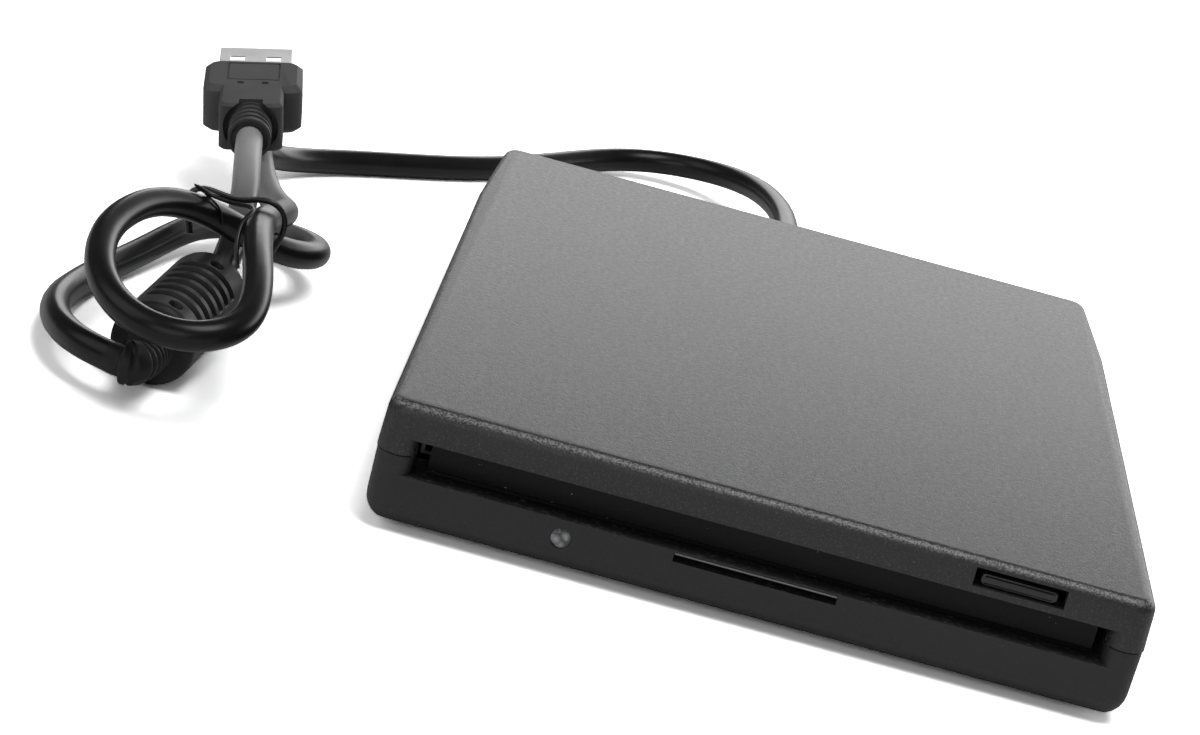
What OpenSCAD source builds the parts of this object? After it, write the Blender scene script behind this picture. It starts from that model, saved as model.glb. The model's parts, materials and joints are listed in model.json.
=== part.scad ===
// External floppy disk drive with a captive USB cord.
// Millimetres. The drive stands on z = 0, its slot faces -Y, and the origin is under its middle.

/* [Disk] */
// Width of the disk's jacket
disk_w = 90; // [80:0.5:100]
// Depth of the disk's jacket
disk_d = 94; // [84:0.5:104]

/* [Case] */
// Room at each side between the chassis and the case
side_room = 2.4; // [2:0.1:8]
// Depth of the front, up to the chassis
front_room = 10; // [9:0.5:16]
// Air between the mechanism's shield and the roof
roof_room = 0.3; // [0.1:0.1:3]
// Side, front and rear wall of both covers
wall = 1.8; // [1.4:0.1:2.4]
// Thickness of the roof
roof_t = 1.5; // [1:0.1:2.4]
// Thickness of the floor
floor_t = 1.5; // [1.2:0.1:2.4]
// Height of the parting line over the case's underside
split_h = 10; // [9.4:0.1:10.6]
// Radius of the upright corners
corner_r = 3; // [2:0.5:6]
// Radius of the edge round the roof
top_edge_r = 1.6; // [1:0.1:2.4]
// Radius of the edge round the floor
bottom_edge_r = 3.5; // [2:0.5:4.5]
// How far each cover's sides lean in from the parting line
side_draft = 0.22; // [0:0.02:0.6]
// How far each side closes in towards the rear
tail_taper = 1.2; // [0:0.2:2]
// Length of the closing-in stretch at the rear
tail_l = 31; // [20:1:50]
// Width of the shadow line between the covers
seam_gap = 0.15; // [0.1:0.05:0.4]
// Height of a rubber foot under the case
foot_h = 0.9; // [0.6:0.1:2]
// Diameter of a rubber foot
foot_d = 9; // [6:0.5:12]

/* [Disk slot and door] */
// Room in the slot at each end of the disk
slot_side = 1.2; // [0.8:0.1:2]
// How far the slot's top stands over the room inside the carrier
slot_over = 0.5; // [0.3:0.05:0.8]
// Radius of the slot's rounded end pillars
pillar_r = 2.3; // [1.5:0.1:2.5]
// Room at each end of the door
door_side = 1.5; // [0.8:0.1:3]
// Thickness of the door
door_t = 0.8; // [0.6:0.1:1]
// How far the door stands behind the front
door_setback = 3.2; // [2.8:0.1:4]
// Radius of the door's pins
door_pin_r = 0.5; // [0.4:0.05:0.55]

/* [Eject button, lamp and notch] */
// Width of the button
button_w = 10.4; // [8:0.2:14]
// Height of the button
button_h = 1.4; // [1:0.05:1.5]
// How far the button stands behind the front
button_setback = 1; // [0.6:0.1:1.4]
// Place of the button's middle, in from the slot's right end
button_in = 12.8; // [9:0.2:26]
// Diameter of the lamp's lens
lens_d = 2.7; // [2:0.1:3.4]
// Place of the lens, in from the slot's left end
lens_in = 20.9; // [12:0.1:28]
// Width of the finger notch in the front
notch_w = 21.8; // [14:0.2:36]
// Height of the finger notch
notch_h = 1.25; // [0.8:0.05:1.6]

/* [Disk mechanism] */
// Room at each side of the disk inside the carrier
bay_side = 0.6; // [0.3:0.1:1.2]
// Clear height inside the disk carrier
bay_h = 4.2; // [3.8:0.05:5]
// Room at each side between the carrier and the chassis
carrier_side = 0.5; // [0.3:0.1:1]
// Sheet thickness of the chassis
sheet_t = 0.7; // [0.5:0.1:1]
// Sheet thickness of the carrier and the slider
carrier_t = 0.5; // [0.4:0.05:0.7]
// How far the carrier sets the disk down
drop = 1.6; // [1.2:0.05:2]
// Distance of the spindle behind the front of the chassis
spindle_in = 42; // [38:0.5:46]
// Radius of the rotor
rotor_r = 17; // [14:0.5:18]
// Diameter of the spindle's shaft
shaft_d = 3.9; // [3:0.1:4.4]
// Radius from the spindle to the outermost track
track0_r = 39.5; // [37:0.5:42]
// Travel of the heads between the outermost and innermost tracks
head_travel = 14.8; // [12:0.1:16]
// Diameter of the lead screw
screw_d = 1.8; // [1.4:0.1:2.4]
// Diameter of the stepper motor
motor_d = 6.8; // [5.6:0.1:9]
// Diameter of the guide rod
rod_d = 2.4; // [1.8:0.1:2.6]
// Width of the window for the upper head arm
arm_window_w = 18; // [16:0.5:22]
// Working travel of a sensor plunger
plunger_travel = 0.8; // [0.5:0.05:0.9]
// Depth of the interface board behind the chassis
iboard_d = 17.6; // [16:0.2:26]

/* [Cord and plug] */
// Diameter of the cord
cord_d = 4.3; // [3.6:0.1:4.4]
// Diameter of the ferrite sleeve
ferrite_d = 12; // [10:0.5:12]
// Length of the plug's moulded grip
grip_l = 28; // [24:0.5:34]
// Width of the grip
grip_w = 16; // [14:0.2:18]
// Height of the grip
grip_h = 8; // [7:0.2:9]
// Width of the plug's metal shell
shell_w = 12; // [11.8:0.1:12.2]
// Height of the plug's metal shell
shell_h = 4.5; // [4.4:0.1:4.7]
// Length of the shell in front of the grip
shell_l = 11.8; // [11:0.1:12.4]
// Sheet thickness of the shell
shell_t = 0.3; // [0.25:0.05:0.4]
// Thickness of the twist tie's wire
tie_d = 1; // [0.8:0.1:1.2]

/* [Hidden] */
$fn = 40;

thin = 0.02;
fit = 0.1;

// Widths, from the disk outwards
slot_w = disk_w + 2 * slot_side;
door_w = slot_w - 2 * door_side;
carrier_w = disk_w + 2 * (bay_side + carrier_t);
chassis_w = carrier_w + 2 * (carrier_side + sheet_t);
case_w = chassis_w + 2 * (side_room + wall);

// Depths, from the front to the rear
disk_ahead = 7;
carrier_d = disk_d - disk_ahead;
carrier_back = 1;
tower_gap = 0.7;
tower_d = 3.2;
tower_room = 1.6;
chassis_d = carrier_back + carrier_d + tower_gap + head_travel + tower_d + tower_room + sheet_t;
iboard_gap = 2;
iboard_room = 1.6;
case_d = front_room + chassis_d + iboard_gap + iboard_d + iboard_room + wall;

// Heights, from the floor to the roof
motor_gap = 0.05;
screw_gap = 0.25;
bay_step = 0.45;
slider_gap = 0.25;
spring_gap = 0.3;
spring_r = 0.5;
spring_room = 0.35;
shield_t = 0.5;
slot_lift = floor_t + motor_gap + motor_d / 2 + screw_d / 2 + screw_gap + drop - bay_step;
slot_h = bay_step + bay_h + slot_over;
case_h = slot_lift + bay_step + bay_h + 2 * carrier_t + slider_gap + spring_gap + 2 * spring_r + spring_room
         + shield_t + roof_room + roof_t;

half_w = case_w / 2;
half_d = case_d / 2;
front_y = -half_d;
case_z = foot_h;
top_z = case_z + case_h;
split_z = case_z + split_h;
floor_z = case_z + floor_t;
roof_z = top_z - roof_t;
slot_z = case_z + slot_lift;
slot_top = slot_z + slot_h;

// Door hinge
door_y = front_y + door_setback;
door_shift = 0.3;
door_x = [door_shift - door_w / 2, door_shift + door_w / 2];
pin_z = slot_top + 0.3;
pin_y = door_y + 0.65;
pin_hole = 0.07;
pillar_depth = front_room - 1.2;

// Button and the pocket that it looks out of
button_x = slot_w / 2 - button_in;
pocket_z = slot_top + 0.9;
pocket_h = button_h + 1.15;
button_z = pocket_z + 0.15;
stem_w = 5;

// Lamp
lens_x = slot_w / 2 - lens_in;
lens_z = case_z + 4.7;

// Levels and places inside the mechanism
seat = 0.5;
chassis_z = floor_z + seat;
deck_z = chassis_z + sheet_t;
board_t = 0.8;
board_z = deck_z + 0.05;
board_top = board_z + board_t;
bay_z = slot_z + bay_step;
carrier_z = bay_z - carrier_t;
carrier_top = bay_z + bay_h + carrier_t;
slider_z = carrier_top + slider_gap;
slider_top = slider_z + carrier_t;
shield_z = roof_z - roof_room - shield_t;
chassis_front = front_y + front_room;
chassis_rear = chassis_front + chassis_d;
carrier_front = chassis_front + carrier_back;
carrier_rear = carrier_front + carrier_d;
guide_y = [carrier_front + 12, carrier_rear - 17];
lip_w = 4.4;
slider_half = carrier_w / 2 - 2.1;
spring_x = slider_half - 3;

// Spindle and heads
axis_y = chassis_front + spindle_in;
head_y = axis_y + track0_r;
disk_low = bay_z - drop;
hub_top = disk_low - 0.1;
hub_r = rotor_r - 4.5;
rotor_t = 0.7;
rotor_top = hub_top - 0.45;
bearing_r = 3;
pin_r = 0.8;
pin_offset = 8.2;
screw_x = 17;
screw_z = disk_low - screw_gap - screw_d / 2;
rod_x = -11;
rod_z = disk_low - 0.5 - rod_d / 2;
rod_ends = [head_y - head_travel - 5.4, chassis_rear - 2];
motor_l = 10;
motor_y = chassis_rear - 2 - motor_l;
tower_dy = carrier_rear + tower_gap + head_travel - head_y;
arm_pin_dy = tower_dy + tower_d / 2;
arm_pin_r = 0.7;
arm_pin_z = carrier_top - 0.5;
arm_z = carrier_top + 0.2;
arm_t = 0.8;
arm_w = 9;
carriage_z = deck_z + 0.9;
carriage_top = disk_low - 0.15;
head_top = bay_z - 0.1;

// Shutter lever
lever_x = 3.1 - carrier_w / 2;
lever_y = carrier_rear - 3;
lever_r = -lever_x - 7;
lever_a = -58;
lever_swing = 42;
lever_w = 4;

// Main board
board_half = chassis_w / 2 - 4.3;
main_rear = rod_ends[0] - 1.3;

// Fasteners
screw_r = 1;
screw_head_r = 1.7;
screw_head_t = 1.2;
head_seat = 0.6;
front_screw = [half_w - wall - 1.9, front_y + wall + 4.2];
rear_screw = [half_w - wall - tail_taper - 3.4, half_d - wall - 3.6];
chassis_screw_x = chassis_w / 2 - 3.8;
chassis_screw_y = [chassis_front + 4, chassis_rear - 4];

// Interface board behind the chassis
iboard_y = [chassis_rear + iboard_gap, chassis_rear + iboard_gap + iboard_d];
iboard_half = half_w - 13.5;
iboard_z = floor_z + 2.6;
iboard_top = iboard_z + 1.2;
iboard_post = [iboard_half - 3, iboard_y[0] + 3, iboard_y[1] - 3];

// The cord: hand-chosen points of its centre line, as it lies in the tied bundle
cord_r = cord_d / 2;
exit_z = 9;
lead_pts = [[0, 84, 9], [0, 91, 9], [0, 100, 9], [-1, 111, 8.8], [-4, 125, 7.8], [-9, 136, 6.4],
            [-16.5, 143, 4.8], [-26, 144, 3.6], [-35, 139, 2.6], [-44.5, 125, 2.2], [-54.5, 111, 2.2],
            [-65.5, 101, 2.2], [-77, 91.5, 2.2], [-86, 81, 2.6], [-89.6, 70, 5.4], [-89, 60, 8.6],
            [-87.6, 50, 10.6], [-85.4, 40, 10.4], [-82.4, 30, 10.4]];
bundle_pts = [[-82.4, 30, 10.4], [-79.6, 20, 12], [-77.4, 11, 14.2], [-77.6, 2, 16.2], [-78.8, -8, 17.9],
              [-78, -17, 18.5], [-76.6, -26, 18.4], [-74.8, -34.6, 17.9], [-73.5, -42.4, 16.8],
              [-73.5, -49, 15.3], [-76.6, -54, 14], [-82, -55.8, 13.3], [-87.8, -53.6, 13.4],
              [-92.2, -49, 14.2], [-95.2, -43, 15.3], [-96.8, -36.4, 16.5], [-97.2, -29.4, 17.6],
              [-96, -22.2, 18.4], [-93.8, -15.2, 18.5], [-90, -9, 17.5], [-85.2, -3, 14.8],
              [-80, 2.4, 11.4], [-75.4, 7, 9.2], [-72.2, 13.4, 7.8], [-72, 20.8, 6.6],
              [-74.6, 27.4, 5.4], [-80, 31.4, 4.6], [-86.6, 31, 4.4], [-91.6, 25.8, 4.2],
              [-94.2, 19, 3.8], [-96.2, 12, 3.2], [-98.6, 4, 2.6], [-101, -4.6, 2.4],
              [-102.6, -13.4, 2.5], [-103, -22.4, 3.2], [-102, -31.4, 4.2], [-99.4, -40, 5.1],
              [-95, -46.8, 5.8], [-89.4, -50, 6]];
end_pts = [[-84, -10, 6], [-83.6, -2, 6], [-83.9, 6, 7.4], [-84.2, 13, 10.4], [-85.4, 21.4, 13.4],
           [-87.2, 30.5, 15], [-88.7, 40, 15.7]];
sleeve_a = [-86.4, -41, 6];
sleeve_b = [-84.02, -10.2, 6];
tie_pts = [[-88.8, -1.8, 8.8], [-89.8, -0.6, 11.4], [-91, 0, 14.4], [-90.8, -0.6, 17.2],
           [-88.6, -3.4, 18.9], [-85, -6.6, 19.3], [-81.8, -8.6, 19.9], [-78.8, -9.4, 21.6],
           [-75.4, -9, 20.3], [-75.3, -8, 16], [-76.8, -7.2, 12.6], [-78.8, -6.2, 8.4],
           [-80.9, -5.2, 4.2], [-84, -4.6, 2.5], [-87.1, -4.2, 3.8], [-88.2, -3.8, 6.8]];
plug_at = end_pts[len(end_pts) - 1];
plug_yaw = 9;
plug_pitch = 4;
plug_roll = -12;

// ---- helpers ----

function unit(v) = v / norm(v);

function arc(x, y, r, a0, a1, n = 6) =
    [for (i = [0:n]) [x + r * cos(a0 + (a1 - a0) * i / n), y + r * sin(a0 + (a1 - a0) * i / n)]];

// Plan of the case, set in by a distance: straight sides, closing in at the rear
function plan(inset) =
    let (w = half_w - inset, d = half_d - inset, r = max(corner_r - inset, 0.4), t = w - tail_taper)
    concat(arc(w - r, r - d, r, -90, 0, 8), [[w, half_d - tail_l]],
           arc(t - r, d - r, r, 0, 90, 8), arc(r - t, d - r, r, 90, 180, 8),
           [[-w, half_d - tail_l]], arc(r - w, r - d, r, 180, 270, 8));

module box(x0, x1, y0, y1, z0, z1) {
    translate([x0, y0, z0]) cube([x1 - x0, y1 - y0, z1 - z0]);
}

module bar(x0, x1, y, z, r) {
    translate([x0, y, z]) rotate([0, 90, 0]) cylinder(h = x1 - x0, r = r);
}

module rod(x, y0, y1, z, r) {
    translate([x, y0, z]) rotate([-90, 0, 0]) cylinder(h = y1 - y0, r = r);
}

module post(x, y, z0, z1, r) {
    translate([x, y, z0]) cylinder(h = z1 - z0, r = r);
}

module both() {
    children();
    mirror([1, 0, 0]) children();
}

// A convex form through outlines of the case plan, each given as [height, inset]
module case_form(rows) {
    hull() skin([for (row = rows) [for (p = plan(row[1])) [p[0], p[1], row[0]]]]);
}

module rounded_plate(w, d, h, r) {
    x = w / 2 - r;
    y = d / 2 - r;
    linear_extrude(h) polygon(concat(arc(x, y, r, 0, 90), arc(-x, y, r, 90, 180),
                                     arc(-x, -y, r, 180, 270), arc(x, -y, r, 270, 360)));
}

// Room of the slot in plan, flared between its rounded end pillars
module slot_room(z0, z1, back) {
    w = slot_w / 2;
    box(-w, w, front_y - 1, front_y + back, z0, z1);
    both() difference() {
        box(w - 1, w + pillar_r, front_y - 1, front_y + pillar_r, z0, z1);
        post(w + pillar_r, front_y + pillar_r, z0 - 1, z1 + 1, pillar_r);
    }
}

// Points of a smooth curve that is led by hand-chosen points and starts and ends on the outer ones
function spline(p, steps) =
    let (n = len(p), q = concat([2 * p[0] - p[1]], p, [2 * p[n - 1] - p[n - 2]]))
    concat([for (i = [0:n - 2], k = [0:steps - 1]) let (t = k / steps)
        (pow(1 - t, 3) * q[i] + (3 * pow(t, 3) - 6 * t * t + 4) * q[i + 1]
         + (-3 * pow(t, 3) + 3 * t * t + 3 * t + 1) * q[i + 2] + pow(t, 3) * q[i + 3]) / 6], [p[n - 1]]);

// Directions along a path: half way between the chords inside, and carried on along the bend at its ends
function tangents(p) =
    let (n = len(p), c = [for (i = [0:n - 2]) unit(p[i + 1] - p[i])],
         inner = [for (i = [1:n - 2]) unit(c[i - 1] + c[i])])
    concat([unit(2 * c[0] - inner[0])], inner, [unit(2 * c[n - 2] - inner[n - 3])]);

// Side directions carried along the curve without twist
function sides_of(t, i = 0, found = []) =
    i == len(t) ? found
    : let (last = i == 0 ? cross(t[0], [0, 0, 1]) : found[i - 1], s = unit(last - (last * t[i]) * t[i]))
      sides_of(t, i + 1, concat(found, [s]));

function rings(p, radii, count) =
    let (t = tangents(p), s = sides_of(t))
    [for (i = [0:len(p) - 1]) let (up = cross(t[i], s[i]))
        [for (k = [0:count - 1]) let (a = 360 * k / count) p[i] + radii[i] * (cos(a) * s[i] + sin(a) * up)]];

// One closed skin through rings of points
module skin(list) {
    n = len(list);
    m = len(list[0]);
    polyhedron(points = [for (ring = list) each ring],
               faces = concat([[for (k = [m - 1:-1:0]) k]],
                              [for (i = [0:n - 2], k = [0:m - 1], half = [0, 1]) let (j = (k + 1) % m)
                                  half == 0 ? [i * m + k, i * m + j, (i + 1) * m + j]
                                            : [i * m + k, (i + 1) * m + j, (i + 1) * m + k]],
                              [[for (k = [0:m - 1]) (n - 1) * m + k]]));
}

function slice(list, a, b) = [for (i = [a:b]) list[i]];
function every(n, v) = [for (i = [0:n - 1]) v];

// ---- case ----

lower_rows = concat([for (a = [0:15:90])
                        [case_z + bottom_edge_r * (1 - cos(a)), side_draft + bottom_edge_r * (1 - sin(a))]],
                    [[split_z - seam_gap, 0.12]]);
upper_rows = concat([[split_z, 0]],
                    [for (a = [0:18:90])
                        [top_z - top_edge_r * (1 - sin(a)), side_draft + top_edge_r * (1 - cos(a))]]);
foot_in = 12;
foot_seat = 0.4;
tongue_t = 0.7;
tongue_h = 0.8;
ledge_t = 2.2;
notch_bar = 0.3;
lead_hole_r = 3.1;

module front_pillar(z0, z1) {
    both() box(slot_w / 2 - 1, half_w - wall + fit, front_y + wall - fit, front_y + pillar_depth, z0, z1);
}

module screw_way(at, z0, z1, r) {
    both() post(at[0], at[1], z0, z1, r);
}

module bottom_cover() {
    boss_r = 2.9;
    color("#2b2c2e") difference() {
        union() {
            difference() {
                case_form(lower_rows);
                translate([0, 0, floor_z]) linear_extrude(case_h) polygon(plan(wall));
            }
            // tongue that centres the top cover
            difference() {
                translate([0, 0, split_z - 2]) linear_extrude(2 + tongue_h)
                    polygon(plan(wall - tongue_t));
                translate([0, 0, split_z - 3]) linear_extrude(4 + tongue_h) polygon(plan(wall));
            }
            front_pillar(floor_z - fit, split_z - seam_gap);
            // solid ledge under the slot
            box(-half_w + wall - fit, half_w - wall + fit, front_y + wall - fit, front_y + pillar_depth,
                slot_z - ledge_t, slot_z);
            both() post(rear_screw[0], rear_screw[1], floor_z - fit, split_z - 1, boss_r);
            // seats of the chassis and posts of the interface board
            both() for (y = chassis_screw_y) post(chassis_screw_x, y, floor_z - fit, chassis_z, 3);
            both() for (y = [iboard_post[1], iboard_post[2]])
                post(iboard_post[0], y, floor_z - fit, iboard_z, 2);
            // stiffening ribs of the floor
            for (x = [-24, 0, 24])
                box(x - 0.5, x + 0.5, chassis_front + 6, chassis_rear - 6, floor_z - fit, floor_z + 0.35);
        }
        slot_room(slot_z, split_z + 2, pillar_depth + 1);
        // finger notch under a thin bar of the ledge
        box(door_shift - notch_w / 2, door_shift + notch_w / 2, front_y - 1, front_y + wall + 1.4,
            slot_z - notch_bar - notch_h, slot_z - notch_bar);
        rod(-lens_x, front_y - 1, front_y + wall + 1, lens_z, lens_d / 2 + 0.03);
        box(-lens_x - 1.5, -lens_x + 1.5, front_y + wall + 1, front_y + pillar_depth + 1,
            floor_z + 0.2, lens_z + 1.4);
        for (at = [front_screw, rear_screw]) {
            screw_way(at, case_z - 1, split_z + 1, screw_r + fit);
            screw_way(at, case_z - 1, floor_z + head_seat, screw_head_r + fit);
        }
        both() for (y = chassis_screw_y) post(chassis_screw_x, y, floor_z - 0.6, chassis_z + 1, 0.8);
        both() for (s = [-1, 1])
            post(half_w - foot_in, s * (half_d - foot_in), case_z - 1, case_z + foot_seat, foot_d / 2 + 0.05);
        // way of the cord's strain relief, open to the top cover
        rod(0, half_d - wall - 1, half_d + 1, exit_z, lead_hole_r);
        box(-lead_hole_r, lead_hole_r, half_d - wall - 1, half_d + 1, exit_z, split_z + 2);
    }
}

module top_cover() {
    boss_r = 2.6;
    pocket_w = button_w + 1.8;
    color("#3a3b3d") difference() {
        union() {
            difference() {
                case_form(upper_rows);
                translate([0, 0, split_z - 1]) linear_extrude(roof_z - split_z + 1) polygon(plan(wall));
                translate([0, 0, split_z - 1]) linear_extrude(2.1 + tongue_h - 1)
                    polygon(plan(wall - tongue_t - fit));
            }
            front_pillar(split_z + tongue_h + 0.3, roof_z + fit);
            both() box(slot_w / 2 - 1, half_w - wall - 0.4, front_y + wall + 0.5, front_y + pillar_depth,
                       split_z, roof_z);
            both() post(rear_screw[0], rear_screw[1], split_z - 0.8, roof_z + fit, boss_r);
            // collar round the button's pocket
            box(button_x - pocket_w / 2 - 0.8, button_x + pocket_w / 2 + 0.8, front_y + wall - fit,
                front_y + wall + 0.5, pocket_z - 0.45, roof_z + fit);
        }
        slot_room(split_z - 1, slot_top, pillar_depth + 1);
        box(button_x - pocket_w / 2, button_x + pocket_w / 2, front_y - 1, front_y + wall + 1,
            pocket_z, pocket_z + pocket_h);
        both() bar(slot_w / 2 - 1, slot_w / 2 + door_pin_l + 0.6, pin_y, pin_z, door_pin_r + pin_hole);
        for (at = [front_screw, rear_screw]) screw_way(at, split_z - 1, split_z + 3.6, screw_r - 0.15);
        rod(0, half_d - wall - 1, half_d + 1, exit_z, lead_hole_r);
    }
}

module rubber_feet() {
    color("#242424") both() for (s = [-1, 1]) translate([half_w - foot_in, s * (half_d - foot_in), 0])
        rotate_extrude() polygon([[0, 0], [foot_d / 2 - 0.5, 0], [foot_d / 2, 0.5],
                                  [foot_d / 2, case_z + foot_seat], [0, case_z + foot_seat]]);
}

module pan_screw(x, y, z, head_r, head_t, r, length) {
    difference() {
        union() {
            post(x, y, z, z + head_t, head_r);
            post(x, y, z + head_t, z + length, r);
        }
        box(x - head_r * 0.7, x + head_r * 0.7, y - 0.25, y + 0.25, z - 1, z + head_t * 0.5);
        box(x - 0.25, x + 0.25, y - head_r * 0.7, y + head_r * 0.7, z - 1, z + head_t * 0.5);
    }
}

module case_screws() {
    z = floor_z + head_seat - screw_head_t;
    length = split_z + 3.4 - z;
    color("#55565a") both() for (at = [front_screw, rear_screw])
        pan_screw(at[0], at[1], z, screw_head_r, screw_head_t, screw_r - 0.2, length);
}

// ---- door, button and lamp ----

door_pin_l = 1.6;

module disk_door() {
    barrel_r = 0.55;
    foot = slot_z + 0.3;
    color("#1f2022") {
        difference() {
            union() {
                box(door_x[0], door_x[1], door_y, door_y + door_t, foot, pin_z);
                bar(door_x[0], door_x[1], pin_y, pin_z, barrel_r);
            }
            // bevel along the foot of the door
            translate([door_x[0] - 1, door_y, foot]) rotate([45, 0, 0]) cube([door_w + 2, 0.4, 0.4]);
        }
        bar(-slot_w / 2 - door_pin_l, door_x[0] + fit, pin_y, pin_z, door_pin_r);
        bar(door_x[1] - fit, slot_w / 2 + door_pin_l, pin_y, pin_z, door_pin_r);
    }
}

module door_spring() {
    color("#8d8f93") {
        difference() {
            bar(1.1 - slot_w / 2, door_x[0] - 0.1, pin_y, pin_z, door_pin_r + 0.35);
            bar(-slot_w / 2, door_x[0], pin_y, pin_z, door_pin_r + 0.1);
        }
    }
}

module eject_button() {
    face = front_y + button_setback;
    depth = 2.3;
    edge = 0.3;
    half = button_w / 2;
    color("#1b1c1e") {
        hull() {
            box(button_x - half, button_x + half, face + edge, face + depth, button_z, button_z + button_h);
            box(button_x - half + edge, button_x + half - edge, face, face + depth,
                button_z + edge, button_z + button_h - edge);
        }
        // stem, and the foot that rests on the slider
        box(button_x - stem_w / 2, button_x + stem_w / 2, face + depth, carrier_front + 4,
            button_z, button_z + 0.9);
        box(button_x - stem_w / 2, button_x + stem_w / 2, carrier_front, carrier_front + 4,
            slider_top, button_z + fit);
    }
}

module led_lens() {
    color("#b9bcc0", 0.6) translate([-lens_x, front_y, lens_z]) rotate([-90, 0, 0])
        rotate_extrude() polygon([[0, 0.02], [lens_d / 2 - 0.4, 0.12], [lens_d / 2, 0.4],
                                  [lens_d / 2, wall + 1], [0, wall + 1]]);
}

module led_lamp() {
    y = front_y + wall + 1;
    color("#d8e4d0") {
        rod(-lens_x, y, y + 2.4, lens_z, 1.1);
        box(-lens_x - 1.2, -lens_x + 1.2, y + 2.4, y + 3, lens_z - 1.2, lens_z + 1.2);
    }
    color("silver") for (x = [-lens_x - 0.7, -lens_x + 0.7]) {
        box(x - 0.2, x + 0.2, y + 3, chassis_front + 5, board_top, board_top + 0.4);
        box(x - 0.2, x + 0.2, y + 3, y + 3.4, board_top, lens_z - 0.6);
    }
}

// ---- interface board, leads and cord ----

socket_w = 12;
socket_d = 4;
ribbon_w = 10;
ribbon_t = 0.25;
ribbon_x = screw_x + 10.5;

module interface_board() {
    color("#1d5c38") difference() {
        box(-iboard_half, iboard_half, iboard_y[0], iboard_y[1], iboard_z, iboard_top);
        both() for (y = [iboard_post[1], iboard_post[2]])
            post(iboard_post[0], y, iboard_z - 1, iboard_top + 1, 1.1);
    }
}

// Flat package with legs on both long sides
module chip(x, y, z, w, d, h, legs) {
    pitch = (w - 1) / (legs - 1);
    box(x - w / 2, x + w / 2, y - d / 2, y + d / 2, z + 0.1, z + h);
    for (i = [0:legs - 1], s = [-1, 1])
        translate([x - w / 2 + 0.5 + i * pitch, y + s * (d / 2 + 0.4), z])
            box(-0.15, 0.15, -0.45, 0.45, 0, 0.3);
}

module interface_chips() {
    y = (iboard_y[0] + iboard_y[1]) / 2;
    color("#18191b") {
        chip(-14, y, iboard_top, 9, 7, 1.5, 10);
        chip(4, y - 1, iboard_top, 5, 4, 1.4, 4);
    }
}

module crystal() {
    color("silver") translate([-4.5, iboard_y[0] + 3.2, iboard_top]) {
        rounded_plate(10.6, 4.2, 0.4, 2);
        rounded_plate(10, 3.6, 3.4, 1.75);
    }
}

module capacitors() {
    color("#8a8d93") for (x = [10, 16])
        translate([x, iboard_y[1] - 5, iboard_top]) rotate_extrude()
            polygon([[0, 0], [2, 0], [2, 0.8], [1.8, 1], [2, 1.2], [2, 4.6], [0, 4.6]]);
}

module ribbon_sockets() {
    color("#d9d4c4") {
        box(ribbon_x - socket_w / 2, ribbon_x + socket_w / 2, main_rear - 0.4 - socket_d, main_rear - 0.4,
            board_top, board_top + 1.3);
        box(ribbon_x - socket_w / 2, ribbon_x + socket_w / 2, iboard_y[0] + 0.4, iboard_y[0] + 0.4 + socket_d,
            iboard_top, iboard_top + 1.3);
        box(-4, 4, iboard_y[1] - 4.4, iboard_y[1] - 1.4, iboard_top, iboard_top + 2);
    }
}

module flat_cable() {
    x = ribbon_x - ribbon_w / 2;
    low = deck_z + 0.1;
    a = board_top + 0.5;
    b = iboard_top + 0.5;
    color("#c9cdd2") translate([x, 0, 0]) rotate([90, 0, 90]) linear_extrude(ribbon_w)
        polygon([[main_rear - 0.4, a], [main_rear + 0.4, a], [main_rear + 1.6, low],
                 [chassis_rear + 0.2, low], [chassis_rear + 1, b], [iboard_y[0] + 0.4, b],
                 [iboard_y[0] + 0.4, b + ribbon_t], [chassis_rear + 0.8, b + ribbon_t],
                 [chassis_rear, low + ribbon_t], [main_rear + 1.8, low + ribbon_t],
                 [main_rear + 0.6, a + ribbon_t], [main_rear - 0.4, a + ribbon_t]]);
}

module inner_leads() {
    y = iboard_y[1] - 1.4;
    lead_t = 0.6;
    for (i = [0:3]) color(["#b02a2a", "#e8e8e4", "#2f7a3b", "#2b2b2b"][i]) translate([1.4 * i - 2.1, 0, 0])
        box(-lead_t / 2, lead_t / 2, y, half_d - wall - 1.5, iboard_top + 0.7, iboard_top + 0.7 + lead_t);
}

relief_out = 13;
module strain_relief() {
    inner = half_d - wall - 1.5;
    groove = lead_hole_r - 0.1;
    color("#2a2a2c") translate([0, 0, exit_z]) rotate([-90, 0, 0]) rotate_extrude()
        polygon([[0, inner], [groove + 0.9, inner], [groove + 0.9, inner + 1.4], [groove, inner + 1.4],
                 [groove, half_d + 0.1], [groove + 0.7, half_d + 0.1], [groove + 0.7, half_d + 1.8],
                 [groove + 0.2, half_d + 2.2],
                 for (i = [0:3]) each [[groove + 0.1 - 0.14 * i, half_d + 3.2 + 2.4 * i],
                                       [cord_r + 0.35, half_d + 3.4 + 2.4 * i],
                                       [cord_r + 0.35, half_d + 4.4 + 2.4 * i],
                                       [groove - 0.05 - 0.14 * i, half_d + 4.6 + 2.4 * i]],
                 [cord_r + 0.25, half_d + relief_out], [0, half_d + relief_out]]);
}

cord_sides = 8;
bundle_steps = 2;
lead_path = spline(concat(lead_pts, slice(bundle_pts, 1, len(bundle_pts) - 1)), bundle_steps);
lead_turns = bundle_steps * (len(lead_pts) - 1);
lead_rings = rings(lead_path, every(len(lead_path), cord_r), cord_sides);
end_path = spline(end_pts, 2);

// least gap of the cord to itself, between points well apart along it
function least_gap(p) =
    min([for (i = [0:len(p) - 1], j = [i + 5:1:len(p) - 1]) norm(p[i] - p[j])]) - cord_d;
echo(least_gap_of_bundle = least_gap(slice(lead_path, lead_turns, len(lead_path) - 1)));

module cord_lead() {
    color("#1c1c1e") skin([for (i = [0:lead_turns]) if (i % 2 == 0) lead_rings[i]]);
}

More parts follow.
